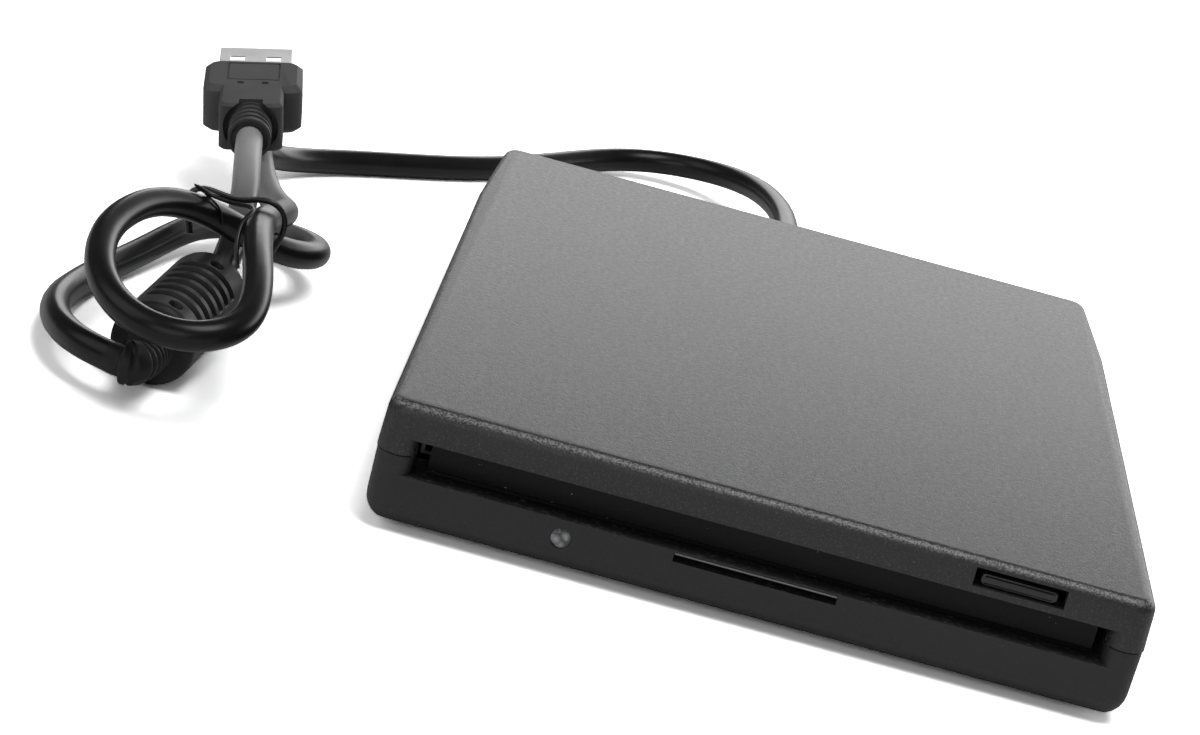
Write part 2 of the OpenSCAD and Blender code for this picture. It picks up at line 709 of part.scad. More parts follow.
module cord_bundle() {
    color("#1c1c1e") skin(slice(lead_rings, lead_turns, len(lead_path) - 1));
}

module cord_end() {
    color("#1c1c1e") skin(rings(end_path, every(len(end_path), cord_r), cord_sides));
}

sleeve_v = sleeve_b - sleeve_a;
sleeve_l = norm(sleeve_v);
module ferrite_sleeve() {
    r = ferrite_d / 2;
    ribs = 7;
    pitch = 2.1;
    start = (sleeve_l - pitch * ribs) / 2;
    edge = 1.6;
    heading = atan2(sleeve_v[1], sleeve_v[0]);
    color("#242426") translate(sleeve_a) rotate([0, 0, heading]) rotate([0, 90, 0]) difference() {
        rotate_extrude() polygon(concat([[0, 0]], arc(r - edge, edge, edge, -90, 0, 4),
            [for (i = [0:ribs - 1]) each [[r, start + i * pitch], [r - 0.6, start + i * pitch + 0.25],
                                          [r - 0.6, start + i * pitch + 0.85], [r, start + i * pitch + 1.1]]],
            arc(r - edge, sleeve_l - edge, edge, 0, 90, 4), [[0, sleeve_l]]));
        for (z = [3.4, sleeve_l - 3.4])
            translate([-r - 1, 0, z]) rotate([0, 90, 0]) cylinder(h = 2.2, r = 0.6);
    }
}

// Bent, ribbed relief at the front of the sleeve
module sleeve_relief() {
    leave = tangents(lead_path)[len(lead_path) - 1];
    arrive = unit(sleeve_v);
    from = bundle_pts[len(bundle_pts) - 1] + 0.3 * leave;
    to = sleeve_a - 0.4 * arrive;
    steps = 15;
    p = [for (i = [0:steps]) let (t = i / steps)
        pow(1 - t, 3) * from + 3 * t * pow(1 - t, 2) * (from + 8 * leave)
        + 3 * t * t * (1 - t) * (to - 2.5 * arrive) + pow(t, 3) * to];
    // swelling towards the sleeve, with a groove at every third ring
    r = [for (i = [0:steps]) cord_r + 0.35 + 0.07 * i + (i % 3 == 1 || i == 0 ? -0.35 : 0.25)];
    color("#242426") skin(rings(p, r, 16));
}

module on_plug() {
    translate(plug_at) rotate([0, 0, plug_yaw]) rotate([plug_pitch, 0, 0]) rotate([0, plug_roll, 0])
        children();
}

// A slab whose upper and lower rims are chamfered, from y0 to y1
module pillow(w, y0, y1, h, r, e) {
    d = y1 - y0;
    translate([0, (y0 + y1) / 2, 0]) hull() {
        translate([0, 0, -h / 2]) rounded_plate(w - 2 * e, d - 2 * e, thin, r);
        translate([0, 0, -h / 2 + e]) rounded_plate(w, d, h - 2 * e, r);
        translate([0, 0, h / 2 - thin]) rounded_plate(w - 2 * e, d - 2 * e, thin, r);
    }
}

// Grip: a wide front block, a narrower block behind it, and a ribbed neck in that block's pocket
module plug_grip() {
    collar_y = 5.5;
    wide_y = grip_l * 0.5;
    collar_w = grip_w * 0.64;
    neck_r = cord_r + 1.3;
    half_h = grip_h / 2;
    color("#2c2c2e") on_plug() difference() {
        union() {
            pillow(grip_w, wide_y, grip_l, grip_h, 1.8, 0.9);
            pillow(collar_w, collar_y, wide_y + 4, grip_h, 1, 0.5);
            rotate([-90, 0, 0]) cylinder(h = collar_y + 4, r = neck_r);
        }
        // pocket round the neck, and the neck's ribs
        rotate([-90, 0, 0]) translate([0, 0, collar_y - 1]) difference() {
            cylinder(h = 3.5, r = collar_w / 2 - 0.7);
            translate([0, 0, -1]) cylinder(h = 6, r = neck_r);
        }
        for (y = [1.2:1.9:collar_y + 1.5]) rotate([-90, 0, 0]) translate([0, 0, y]) difference() {
            cylinder(h = 0.8, r = neck_r + 0.3);
            translate([0, 0, -1]) cylinder(h = 3, r = neck_r - 0.5);
        }
        // mouth round the cord
        rotate([-90, 0, 0]) translate([0, 0, -1]) difference() {
            cylinder(h = 1.6, r = neck_r - 0.45);
            translate([0, 0, -1]) cylinder(h = 4, r = cord_r);
        }
        // shadow line along the sides and two finger dips
        both() box(grip_w / 2 - 0.3, grip_w, collar_y, grip_l + 1, -0.15, 0.15);
        both() for (y = [wide_y + 3.4, wide_y + 6.6, wide_y + 9.8])
            box(grip_w / 2 - 0.5, grip_w, y - 0.7, y + 0.7, -half_h + 1.6, half_h - 1.6);
        // framed panel and two dents on the top
        difference() {
            box(-4.3, 4.3, grip_l - 10.2, grip_l - 1.6, half_h - 0.25, grip_h);
            box(-4, 4, grip_l - 9.9, grip_l - 2, 0, grip_h);
        }
        for (s = [-1, 1]) translate([s * 2, grip_l - 11.7, half_h - 0.35]) cylinder(h = 1, r = 0.6);
    }
}

module plug_shell() {
    color("#c9ccd0") on_plug() difference() {
        box(-shell_w / 2, shell_w / 2, grip_l, grip_l + shell_l, -shell_h / 2, shell_h / 2);
        box(-shell_w / 2 + shell_t, shell_w / 2 - shell_t, grip_l - 1, grip_l + shell_l + 1,
            -shell_h / 2 + shell_t, shell_h / 2 - shell_t);
        for (x = [-3, 3]) box(x - 1.2, x + 1.2, grip_l + 5.2, grip_l + 7.4, -shell_h, shell_h);
    }
}

tongue_gap = 0.05;
plastic_t = 1.9;
module plug_tongue() {
    x = shell_w / 2 - shell_t - tongue_gap;
    z = shell_t + tongue_gap - shell_h / 2;
    color("#e9e9e6") on_plug() box(-x, x, grip_l, grip_l + shell_l - 0.8, z, z + plastic_t);
}

module plug_contacts() {
    z = shell_t + tongue_gap - shell_h / 2 + plastic_t;
    color("#d4af5a") on_plug() for (x = [-3.5, -1, 1, 3.5])
        box(x - 0.5, x + 0.5, grip_l + 1, grip_l + shell_l - (abs(x) > 2 ? 1.6 : 2.6), z, z + 0.12);
}

module twist_tie() {
    path = spline(tie_pts, 2);
    color("#161616") skin(rings(path, every(len(path), tie_d / 2), 8));
}

// ---- chassis, carrier and slider ----

module chassis() {
    w = chassis_w / 2;
    color("#b7bbc0") difference() {
        union() {
            box(-w, w, chassis_front, chassis_rear, chassis_z, deck_z);
            both() box(w - sheet_t, w, chassis_front, chassis_rear, chassis_z, shield_z);
            // rear wall, left low over the motor
            box(-w, w, chassis_rear - sheet_t, chassis_rear, chassis_z, deck_z + 2);
            // inward tabs that carry the shield
            both() for (y = [chassis_front + 14, chassis_rear - 14])
                box(w - 5, w - sheet_t + fit, y - 3, y + 3, shield_z - sheet_t, shield_z);
        }
        // openings stamped in the deck
        both() translate([w - 17.3, chassis_front + 33, chassis_z - 1]) rounded_plate(16, 30, 3, 3);
        translate([19.3 - w, chassis_rear - 22, chassis_z - 1]) rounded_plate(14, 24, 3, 3);
        post(0, axis_y, chassis_z - 1, deck_z + 1, bearing_r + 0.05);
        box(screw_x - motor_d / 2 - 0.4, screw_x + motor_d / 2 + 0.4, motor_y, chassis_rear - 1.6,
            chassis_z - 1, deck_z + 1);
        both() for (y = chassis_screw_y) post(chassis_screw_x, y, chassis_z - 1, deck_z + 1, 1.15);
        // guides of the carrier's pins
        both() for (y = guide_y)
            box(w - 2, w + 1, y - 0.9, y + 0.9, carrier_top - 3 - drop - 0.9, carrier_top - 3 + 0.9);
        box(ribbon_x - ribbon_w / 2 - 0.6, ribbon_x + ribbon_w / 2 + 0.6, chassis_rear - 1, chassis_rear + 1,
            deck_z, deck_z + 3);
    }
}

module chassis_screws() {
    color("#6a6c70") both() for (y = chassis_screw_y) {
        post(chassis_screw_x, y, deck_z, deck_z + 0.8, 1.6);
        post(chassis_screw_x, y, floor_z - 0.5, deck_z, 0.7);
    }
}

module shield_plate() {
    w = chassis_w / 2;
    color("#c4c7cb") difference() {
        union() {
            box(-w, w, chassis_front + 4, chassis_rear, shield_z, shield_z + shield_t);
            // flanges folded down outside the chassis
            both() box(w + 0.05, w + 0.45, chassis_front + 20, chassis_rear - 20,
                       shield_z - 4, shield_z + shield_t);
            both() box(w - fit, w + 0.45, chassis_front + 20, chassis_rear - 20,
                       shield_z, shield_z + shield_t);
        }
        translate([0, head_y - 12.5, shield_z - 1]) rounded_plate(30, 44, 3, 4);
        both() translate([w - 21.3, chassis_front + 31, shield_z - 1]) rounded_plate(6, 26, 3, 2);
    }
}

module disk_carrier() {
    w = carrier_w / 2;
    color("#aeb2b7") difference() {
        union() {
            box(-w, w, carrier_front, carrier_rear, bay_z + bay_h, carrier_top);
            both() box(w - carrier_t, w, carrier_front, carrier_rear, carrier_z, carrier_top);
            both() box(w - lip_w, w, carrier_front, carrier_rear - 8, carrier_z, bay_z);
            // guide pins
            both() for (y = guide_y) bar(w - fit, chassis_w / 2 - 0.15, y, carrier_top - 3, 0.6);
        }
        // window of the upper head arm, open at the rear
        box(-arm_window_w / 2, arm_window_w / 2, head_y - head_travel - 7, carrier_rear + 1,
            bay_z, carrier_top + 1);
        // curved way of the shutter lever's pin
        translate([lever_x, lever_y, bay_z]) linear_extrude(bay_h + 2)
            polygon(concat(arc(0, 0, lever_r + 1.3, lever_a - 2.5, lever_a + lever_swing + 2.5, 8),
                           arc(0, 0, lever_r - 1.3, lever_a + lever_swing + 2.5, lever_a - 2.5, 8)));
        both() translate([w - 16.1, carrier_front + 16, bay_z]) rounded_plate(18, 12, bay_h + 2, 2);
        translate([w - 22.1, carrier_rear - 25, bay_z]) rounded_plate(16, 26, bay_h + 2, 3);
    }
}

module slider_plate() {
    w = slider_half;
    color("#c9ccd0") difference() {
        union() {
            box(-w, w, carrier_front, carrier_front + 26, slider_z, slider_top);
            box(w - 6, w, carrier_front, carrier_rear - 7, slider_z, slider_top);
            box(-w, -w + 6, carrier_front, carrier_rear - 23, slider_z, slider_top);
        }
        both() translate([w - 14, carrier_front + 13, slider_z - 1]) rounded_plate(14, 12, 3, 2);
        both() translate([13, carrier_front + 13, slider_z - 1]) rounded_plate(8, 14, 3, 3);
    }
}

module eject_springs() {
    x = spring_x;
    z = slider_top + spring_gap + spring_r;
    y0 = carrier_front + 30;
    y1 = y0 + 20;
    t = 0.2;
    color("#a2a5aa") both() {
        rod(x, y0, y1, z, spring_r);
        // hooked ends caught in the shield
        box(x - t, x + t, y0 - 1.2, y0 + fit, z - t, z + t);
        box(x - t, x + t, y1 - fit, y1 + 1.2, z - t, z + t);
        box(x - t, x + t, y1 + 0.8, y1 + 1.2, z - t, shield_z);
        box(x - t, x + t, y0 - 1.2, y0 - 0.8, z - t, shield_z);
    }
}

module shutter_lever() {
    z = carrier_top + 0.1;
    t = 0.6;
    color("#9da1a6") translate([lever_x, lever_y, 0]) rotate([0, 0, lever_a]) difference() {
        union() {
            post(0, 0, z, z + t, lever_w / 2 + 0.4);
            box(0, lever_r, -lever_w / 2 + 0.6, lever_w / 2 - 0.6, z, z + t);
            post(lever_r, 0, z, z + t, lever_w / 2);
            post(lever_r, 0, bay_z + bay_h - 1.2, z + fit, 0.9);
        }
        post(0, 0, z - 1, z + t + 1, 1.05);
    }
}

module shutter_pivot() {
    z = carrier_top + 0.1;
    color("#d0d3d6") {
        post(lever_x, lever_y, carrier_top, z + 0.75, 1);
        post(lever_x, lever_y, z + 0.65, z + 0.95, 1.9);
    }
}

// ---- spindle ----

shaft_low_r = 1.25;
module spindle_rotor() {
    hole_r = rotor_r - 2.4;
    color("#c6c9cd") difference() {
        translate([0, axis_y, 0]) rotate_extrude()
            polygon([[shaft_low_r + 0.05, rotor_top - rotor_t], [rotor_r - 1, rotor_top - rotor_t],
                     [rotor_r - 1, board_top + 0.5], [rotor_r, board_top + 0.5], [rotor_r, rotor_top],
                     [hub_r, rotor_top], [hub_r, hub_top], [shaft_low_r + 0.05, hub_top]]);
        post(pin_offset, axis_y, rotor_top - 2, hub_top + 1, pin_r + 0.02);
        for (a = [60:60:300])
            post(hole_r * cos(a), axis_y + hole_r * sin(a), rotor_top - 2, rotor_top + 1, 1);
    }
}

module spindle_shaft() {
    r = shaft_d / 2;
    color("#e2e4e6") translate([0, axis_y, 0]) rotate_extrude()
        polygon([[0, deck_z + 0.4], [shaft_low_r, deck_z + 0.4], [shaft_low_r, hub_top], [r, hub_top],
                 [r, bay_z - 0.7], [r - 0.4, bay_z - 0.3], [0, bay_z - 0.3]]);
}

module chucking_pin() {
    color("#d7dadd") post(pin_offset, axis_y, rotor_top - rotor_t, hub_top + 1.1, pin_r);
}

module spindle_bearing() {
    bore = shaft_low_r + 0.05;
    neck = bearing_r - 0.4;
    top = rotor_top - rotor_t - 0.1;
    color("#b08d4c") translate([0, axis_y, 0]) rotate_extrude()
        polygon([[bore, deck_z + 0.3], [bore, top], [neck, top], [neck, board_top + 0.3],
                 [bearing_r, board_top + 0.3], [bearing_r, deck_z - 0.3], [0, deck_z - 0.3],
                 [0, deck_z + 0.3]]);
}

module stator_coils() {
    count = 9;
    color("#b4692d") translate([0, axis_y, 0]) difference() {
        union() {
            for (i = [0:count - 1]) rotate([0, 0, 360 / count * i])
                translate([rotor_r - 6.6, 0, board_top]) rounded_plate(7, 4, 0.75, 1.4);
            post(0, 0, board_top, board_top + 0.5, rotor_r - 9.4);
        }
        post(0, 0, board_top - 1, board_top + 1, bearing_r + 0.1);
    }
}

// ---- head drive ----

module stepper_motor() {
    r = motor_d / 2;
    color("#9a9da2") {
        rod(screw_x, motor_y + 0.4, motor_y + motor_l - 0.4, screw_z, r);
        rod(screw_x, motor_y, motor_y + 0.5, screw_z, r - 0.5);
        rod(screw_x, motor_y + motor_l - 0.5, motor_y + motor_l, screw_z, r - 1.2);
    }
    color("#b7bbc0") difference() {
        box(screw_x - 5, screw_x + 5, motor_y - 0.7, motor_y, deck_z, screw_z + 3);
        rod(screw_x, motor_y - 2, motor_y + 1, screw_z, screw_d / 2 + 0.4);
    }
}

module lead_screw() {
    front = head_y - head_travel - 3;
    color("#d5d8db") difference() {
        rod(screw_x, front, motor_y - 0.15, screw_z, screw_d / 2);
        for (y = [front + 4:3.1:motor_y - 3])
            translate([screw_x, y, screw_z]) rotate([-90, 0, 0]) difference() {
                cylinder(h = 0.5, r = screw_d);
                translate([0, 0, -1]) cylinder(h = 3, r = screw_d / 2 - 0.15);
            }
    }
}

module screw_bearing() {
    y = head_y - head_travel - 3;
    color("#d9d5c8") difference() {
        box(screw_x - 2.4, screw_x + 2.4, y - 1.8, y + 0.9, deck_z, disk_low - 0.1);
        rod(screw_x, y - 0.3, y + 3, screw_z, screw_d / 2 + 0.06);
    }
}

module guide_rod() {
    color("#e0e2e5") rod(rod_x, rod_ends[0], rod_ends[1], rod_z, rod_d / 2);
}

module rod_clamps() {
    color("#b7bbc0") for (y = [rod_ends[0] + 0.2, rod_ends[1] - 2.2]) difference() {
        box(rod_x - 3, rod_x + 3, y, y + 2, deck_z, rod_z + rod_d / 2 + 0.3);
        rod(rod_x, y - 1, y + 3, rod_z, rod_d / 2 + 0.02);
    }
}

module head_carriage() {
    front = head_y - 5.2;
    back = head_y + tower_dy;
    r = rod_d / 2;
    color("#33353a") difference() {
        union() {
            box(rod_x + 3.8, 9, front, head_y + 7, carriage_z, carriage_top);
            box(rod_x - 2.2, rod_x + 4, head_y - 1.8, head_y + 7, carriage_z, carriage_top);
            box(-5, 6, head_y + 6, back + 3, carriage_z, carriage_top);
            // tower behind the disk, with ears for the arm's pivot
            box(-5, 6, back, back + 3, carriage_z, arm_pin_z - 1.5);
            for (x = [-5, 4.6]) box(x, x + 1.4, back, back + 3.2, carriage_z, arm_pin_z + 1.2);
            // follower of the lead screw
            box(8, screw_x + 2.2, head_y - 1.5, head_y + 1.5, carriage_z, screw_z - screw_d / 2 - 0.05);
            box(screw_x + screw_d / 2 + 0.15, screw_x + 2.2, head_y - 1.5, head_y + 1.5,
                carriage_z, screw_z + 0.4);
            // flag that the track sensor sees
            box(rod_x - 10, rod_x, head_y - 2, head_y - 1.2, carriage_z + 0.6, carriage_z + 1.4);
        }
        rod(rod_x, front - 1, head_y + 8, rod_z, r + 0.05);
        bar(-6, 8, back + arm_pin_dy - tower_dy, arm_pin_z, arm_pin_r + 0.05);
        box(-3, 5, front + 2, head_y - 3.4, carriage_z + 1, carriage_top + 1);
    }
}

module lower_head() {
    color("#7d5a3c") {
        translate([0, head_y, carriage_top]) rounded_plate(6.6, 6.6, head_top - carriage_top - 0.5, 0.6);
        translate([0, head_y, head_top - 0.5 - fit]) rounded_plate(4, 4.6, 0.5 + fit, 0.5);
    }
}

module upper_arm() {
    y0 = head_y - 4;
    y1 = head_y + arm_pin_dy;
    color("#c2c5ca") {
        box(-arm_w / 2, arm_w / 2, y0, y1 - 3, arm_z, arm_z + arm_t);
        box(-3.3, 4.3, y1 - 3.2, y1 + 0.4, arm_z, arm_z + arm_t);
        difference() {
            union() {
                bar(-3.3, 4.3, y1, arm_pin_z, 1.2);
                box(-3, 4, y1 - 0.7, y1 + 0.35, arm_pin_z + 0.85, arm_z + 0.4);
            }
            bar(-4, 5, y1, arm_pin_z, arm_pin_r + 0.07);
        }
    }
}

module upper_head() {
    color("#7d5a3c") {
        translate([0, head_y, carrier_top - 0.9]) rounded_plate(4, 4.6, 0.5 + fit, 0.5);
        translate([0, head_y, carrier_top - 0.4]) rounded_plate(6.6, 6.6, arm_z - carrier_top + 0.4, 0.6);
    }
}

module arm_pivot() {
    color("#d0d3d6")
        bar(-5.2, 6.2, head_y + arm_pin_dy, arm_pin_z, arm_pin_r);
}

// ---- main board and sensors ----

module main_board() {
    w = board_half;
    color("#1f6a3f") difference() {
        box(-w, w, chassis_front + 2, main_rear, board_z, board_top);
        post(0, axis_y, board_z - 1, board_top + 1, bearing_r + 0.05);
        both() for (y = chassis_screw_y) post(chassis_screw_x, y, board_z - 1, board_top + 1, 2.2);
    }
    color("#1f6a3f") both() for (y = [chassis_front + 12, main_rear - 4])
        post(w - 4, y, deck_z, board_z + fit, 1.6);
}

module board_chips() {
    right = board_half - 13;
    row = chassis_front + 17;
    color("#18191b") {
        chip(-right, row, board_top, 12, 8, 1.4, 12);
        chip(right, row, board_top, 10, 8, 1.4, 10);
        chip(-right - 2, row + 28, board_top, 6, 5, 1.3, 5);
        for (i = [0:5]) translate([right - 6 + 3 * i, row + 14, board_top]) cube([1.6, 1, 0.6]);
        for (i = [0:4]) translate([3 * i - right - 8, row + 16, board_top]) cube([1.6, 1, 0.6]);
    }
}

sensor_y = chassis_front + 5;
sensor_x = [6 - board_half, 12 - board_half, board_half - 6];
plunger_r = 0.7;
sensor_top = carrier_z - drop - 0.35;

module sensor_switches() {
    color("#232427") for (x = sensor_x) difference() {
        box(x - 2, x + 2, sensor_y - 1.8, sensor_y + 1.8, board_top, sensor_top);
        post(x, sensor_y, board_top + 0.4, sensor_top + 1, plunger_r + 0.08);
    }
}

module plunger(x) {
    color("#e4e2da") post(x, sensor_y, board_top + 0.5 + plunger_travel, disk_low + 0.7, plunger_r);
}

module disk_plunger() {
    plunger(sensor_x[0]);
}

module protect_plunger() {
    plunger(sensor_x[1]);
}

module density_plunger() {
    plunger(sensor_x[2]);
}

module track_sensor() {
    color("#1c1d20") difference() {
        box(rod_x - 12, rod_x - 4.4, head_y - 4, head_y - 0.2, deck_z, disk_low - 0.1);
        box(rod_x - 10.6, rod_x - 1, head_y - 5, head_y + 1, carriage_z + 0.2, carriage_z + 1.8);
    }
}

bottom_cover();
top_cover();
rubber_feet();
case_screws();
disk_door();
door_spring();
eject_button();
led_lens();
led_lamp();
interface_board();
interface_chips();
crystal();
capacitors();
ribbon_sockets();
flat_cable();
inner_leads();
strain_relief();
cord_lead();
cord_bundle();
cord_end();
ferrite_sleeve();
sleeve_relief();
plug_grip();
plug_shell();
plug_tongue();
plug_contacts();
twist_tie();
chassis();
chassis_screws();
shield_plate();
disk_carrier();
slider_plate();
eject_springs();
shutter_lever();
shutter_pivot();
spindle_rotor();
spindle_shaft();
chucking_pin();
spindle_bearing();
stator_coils();
stepper_motor();
lead_screw();
screw_bearing();
guide_rod();
rod_clamps();
head_carriage();
lower_head();
upper_arm();
upper_head();
arm_pivot();
main_board();
board_chips();
sensor_switches();
disk_plunger();
protect_plunger();
density_plunger();
track_sensor();
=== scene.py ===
"""External floppy disk drive with its tied cord: finishes, cords and light. Metres; the slot faces -Y."""
import json
import math

import bmesh
import bpy
from mathutils import Matrix, Vector


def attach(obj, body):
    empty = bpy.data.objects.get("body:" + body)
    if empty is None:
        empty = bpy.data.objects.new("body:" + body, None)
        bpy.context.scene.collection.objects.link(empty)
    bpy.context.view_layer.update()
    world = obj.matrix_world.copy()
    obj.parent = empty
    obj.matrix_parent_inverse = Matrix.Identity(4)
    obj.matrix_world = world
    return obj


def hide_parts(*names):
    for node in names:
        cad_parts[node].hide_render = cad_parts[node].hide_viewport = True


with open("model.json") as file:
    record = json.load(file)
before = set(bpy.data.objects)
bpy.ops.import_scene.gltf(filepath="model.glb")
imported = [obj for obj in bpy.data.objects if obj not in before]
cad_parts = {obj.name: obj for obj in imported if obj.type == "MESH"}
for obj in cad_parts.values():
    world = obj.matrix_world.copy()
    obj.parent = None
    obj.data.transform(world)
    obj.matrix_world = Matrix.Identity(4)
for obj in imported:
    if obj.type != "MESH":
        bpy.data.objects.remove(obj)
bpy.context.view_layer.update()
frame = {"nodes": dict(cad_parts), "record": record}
MM = 0.001
NODES = frame["nodes"]
BODY_OF = {node: body for body, nodes in frame["record"]["behaviour"]["bodies"].items() for node in nodes}
SLOT_OF = {part["node"]: part["material_slot"] for part in frame["record"]["subparts"]}

# ---- camera: fitted to the photograph ----

SENSOR = 36.0
LENS = 104.83
CLIP_START = 0.01
CAMERA_AT = Vector((-28.83, -494.61, 163.25)) * MM
CAMERA_RIGHT = Vector((0.96499, 0.07358, 0.25175))
CAMERA_UP = Vector((-0.26222, 0.29214, 0.91973))


def make_camera():
    data = bpy.data.cameras.new("camera")
    data.lens = LENS
    data.sensor_width = SENSOR
    data.clip_start = CLIP_START
    camera = bpy.data.objects.new("camera", data)
    bpy.context.scene.collection.objects.link(camera)
    back = CAMERA_RIGHT.cross(CAMERA_UP)
    axes = Matrix((CAMERA_RIGHT, CAMERA_UP, back)).transposed()
    camera.matrix_world = Matrix.Translation(CAMERA_AT) @ axes.to_4x4()
    bpy.context.scene.camera = camera


# ---- node helpers ----

INPUTS = {"color": "Base Color", "roughness": "Roughness", "metallic": "Metallic", "ior": "IOR",
          "specular": "Specular IOR Level", "coat": "Coat Weight", "coat_roughness": "Coat Roughness",
          "transmission": "Transmission Weight"}


def toned(color, factor):
    return tuple(c * factor for c in color)


class Shader:
    """A material's node tree, built from left to right."""

    def __init__(self, name):
        self.material = bpy.data.materials.new(name)
        self.material.use_nodes = True
        self.tree = self.material.node_tree
        self.bsdf = self.tree.nodes["Principled BSDF"]
        self.place = self.add("ShaderNodeTexCoord").outputs["Object"]

    def add(self, kind, **settings):
        node = self.tree.nodes.new(kind)
        for key, value in settings.items():
            setattr(node, key, value)
        return node

    def link(self, source, target):
        self.tree.links.new(source, target)

    def set(self, **values):
        for key, value in values.items():
            self.bsdf.inputs[INPUTS[key]].default_value = (*value, 1) if key == "color" else value

    def stretched(self, scale):
        mapping = self.add("ShaderNodeMapping")
        mapping.inputs["Scale"].default_value = scale
        self.link(self.place, mapping.inputs["Vector"])
        return mapping.outputs["Vector"]

    def upness(self):
        """How far the surface faces up: 1 on a level top, 0 on an upright wall."""
        parts = self.add("ShaderNodeSeparateXYZ")
        self.link(self.add("ShaderNodeNewGeometry").outputs["Normal"], parts.inputs["Vector"])
        return parts.outputs["Z"]

    def noise(self, size, detail=2.0, vector=None, rough=0.55):
        """Noise whose features are about the given size, in metres."""
        node = self.add("ShaderNodeTexNoise")
        node.inputs["Scale"].default_value = 1 / size
        node.inputs["Detail"].default_value = detail
        node.inputs["Roughness"].default_value = rough
        self.link(vector or self.place, node.inputs["Vector"])
        return node.outputs["Fac"]

    def cells(self, size, **settings):
        """The distance in a pattern of cells of about the given size, in metres."""
        node = self.add("ShaderNodeTexVoronoi", **settings)
        node.inputs["Scale"].default_value = 1 / size
        self.link(self.place, node.inputs["Vector"])
        return node.outputs["Distance"]

    def ramp(self, value, low, high, start=0.0, end=1.0):
        node = self.add("ShaderNodeMapRange")
        for key, number in (("From Min", low), ("From Max", high), ("To Min", start), ("To Max", end)):
            node.inputs[key].default_value = number
        self.link(value, node.inputs["Value"])
        return node.outputs["Result"]

    def math(self, operation, first, second):
        node = self.add("ShaderNodeMath", operation=operation)
        for socket, value in zip(node.inputs, (first, second)):
            if isinstance(value, (int, float)):
                socket.default_value = value
            else:
                self.link(value, socket)
        return node.outputs["Value"]

    def times(self, first, second):
        return self.math("MULTIPLY", first, second)

    def mix(self, factor, first, second):
        """From the first colour to the second; each is an RGB tuple or a socket."""
        node = self.add("ShaderNodeMix", data_type="RGBA")
        self.link(factor, node.inputs["Factor"])
        for socket, value in ((node.inputs["A"], first), (node.inputs["B"], second)):
            if isinstance(value, tuple):
                socket.default_value = (*value, 1)
            else:
                self.link(value, socket)
        return node.outputs["Result"]

    def bump(self, height, distance, under=None):
        node = self.add("ShaderNodeBump")
        node.inputs["Strength"].default_value = 1.0
        node.inputs["Distance"].default_value = distance
        self.link(height, node.inputs["Height"])
        if under:
            self.link(under, node.inputs["Normal"])
        return node.outputs["Normal"]

    def finish(self, color, roughness, normal):
        for value, name in ((color, "Base Color"), (roughness, "Roughness"), (normal, "Normal")):
            self.link(value, self.bsdf.inputs[name])
        return self.material


# ---- materials ----

# size of the spark-eroded grain, the dust tones that lie on it, and the painted highlight on the slanted
# edges round the top
GRAIN = 0.3 * MM
GRIT_DUST = (0.4, 0.4, 0.39)
LYING_DUST = (0.3, 0.3, 0.29)
PAINTED_EDGE_HIGHLIGHT = (0.3, 0.3, 0.3)


def grained_plastic(name, color, roughness, depth, dust, pale, specular=0.5, lying=0.0, worn=0.0):
    """Spark-eroded moulded plastic of a grain depth, whose peaks are paler by a factor.

    Dust sticks in the grain, lying dust on level faces, and the slanted edges round the top get a painted
    highlight, speckled pale by the grain.
    """
    s = Shader(name)
    s.set(specular=specular)
    fine = s.noise(GRAIN, rough=0.7)
    coarse = s.noise(GRAIN * 2.6)
    broad = s.noise(28 * MM, 3.0)
    grit = s.noise(0.7 * MM, 3.0, rough=0.75)
    height = s.math("ADD", fine, s.times(coarse, 0.5))
    tone = s.mix(s.ramp(broad, 0.3, 0.7), color, toned(color, 1.18))
    tone = s.mix(s.ramp(fine, 0.54, 0.74), tone, toned(color, pale))
    tone = s.mix(s.times(s.ramp(grit, 0.7, 0.74), dust), tone, GRIT_DUST)
    if lying:
        settled = s.times(s.ramp(s.upness(), 0.7, 0.95), s.ramp(grit, 0.56, 0.66, 0.0, lying))
        tone = s.mix(settled, tone, LYING_DUST)
    # painted highlight: the slanted edges round the top are speckled pale, a painted glint along the rounded
    # edge
    if worn:
        up = s.upness()
        edge = s.times(s.ramp(up, 0.42, 0.72), s.ramp(up, 0.9, 0.97, 1.0, 0.0))
        tone = s.mix(s.times(edge, s.ramp(fine, 0.4, 0.62, 0.0, worn)), tone, PAINTED_EDGE_HIGHLIGHT)
    rough = s.ramp(coarse, 0.25, 0.75, roughness - 0.06, roughness + 0.05)
    return s.finish(tone, rough, s.bump(height, depth))


def smooth_plastic(name, color, roughness, specular=0.5, coat=0.0, scratch=0.002 * MM):
    """Polished or satin moulding with faint flow marks."""
    s = Shader(name)
    s.set(specular=specular, coat=coat, coat_roughness=0.15)
    broad = s.noise(4 * MM, 3.0)
    fine = s.noise(0.35 * MM, 3.0)
    tone = s.mix(s.ramp(broad, 0.3, 0.7), toned(color, 0.9), toned(color, 1.12))
    rough = s.ramp(fine, 0.3, 0.7, max(roughness - 0.04, 0.02), roughness + 0.06)
    return s.finish(tone, rough, s.bump(fine, scratch))


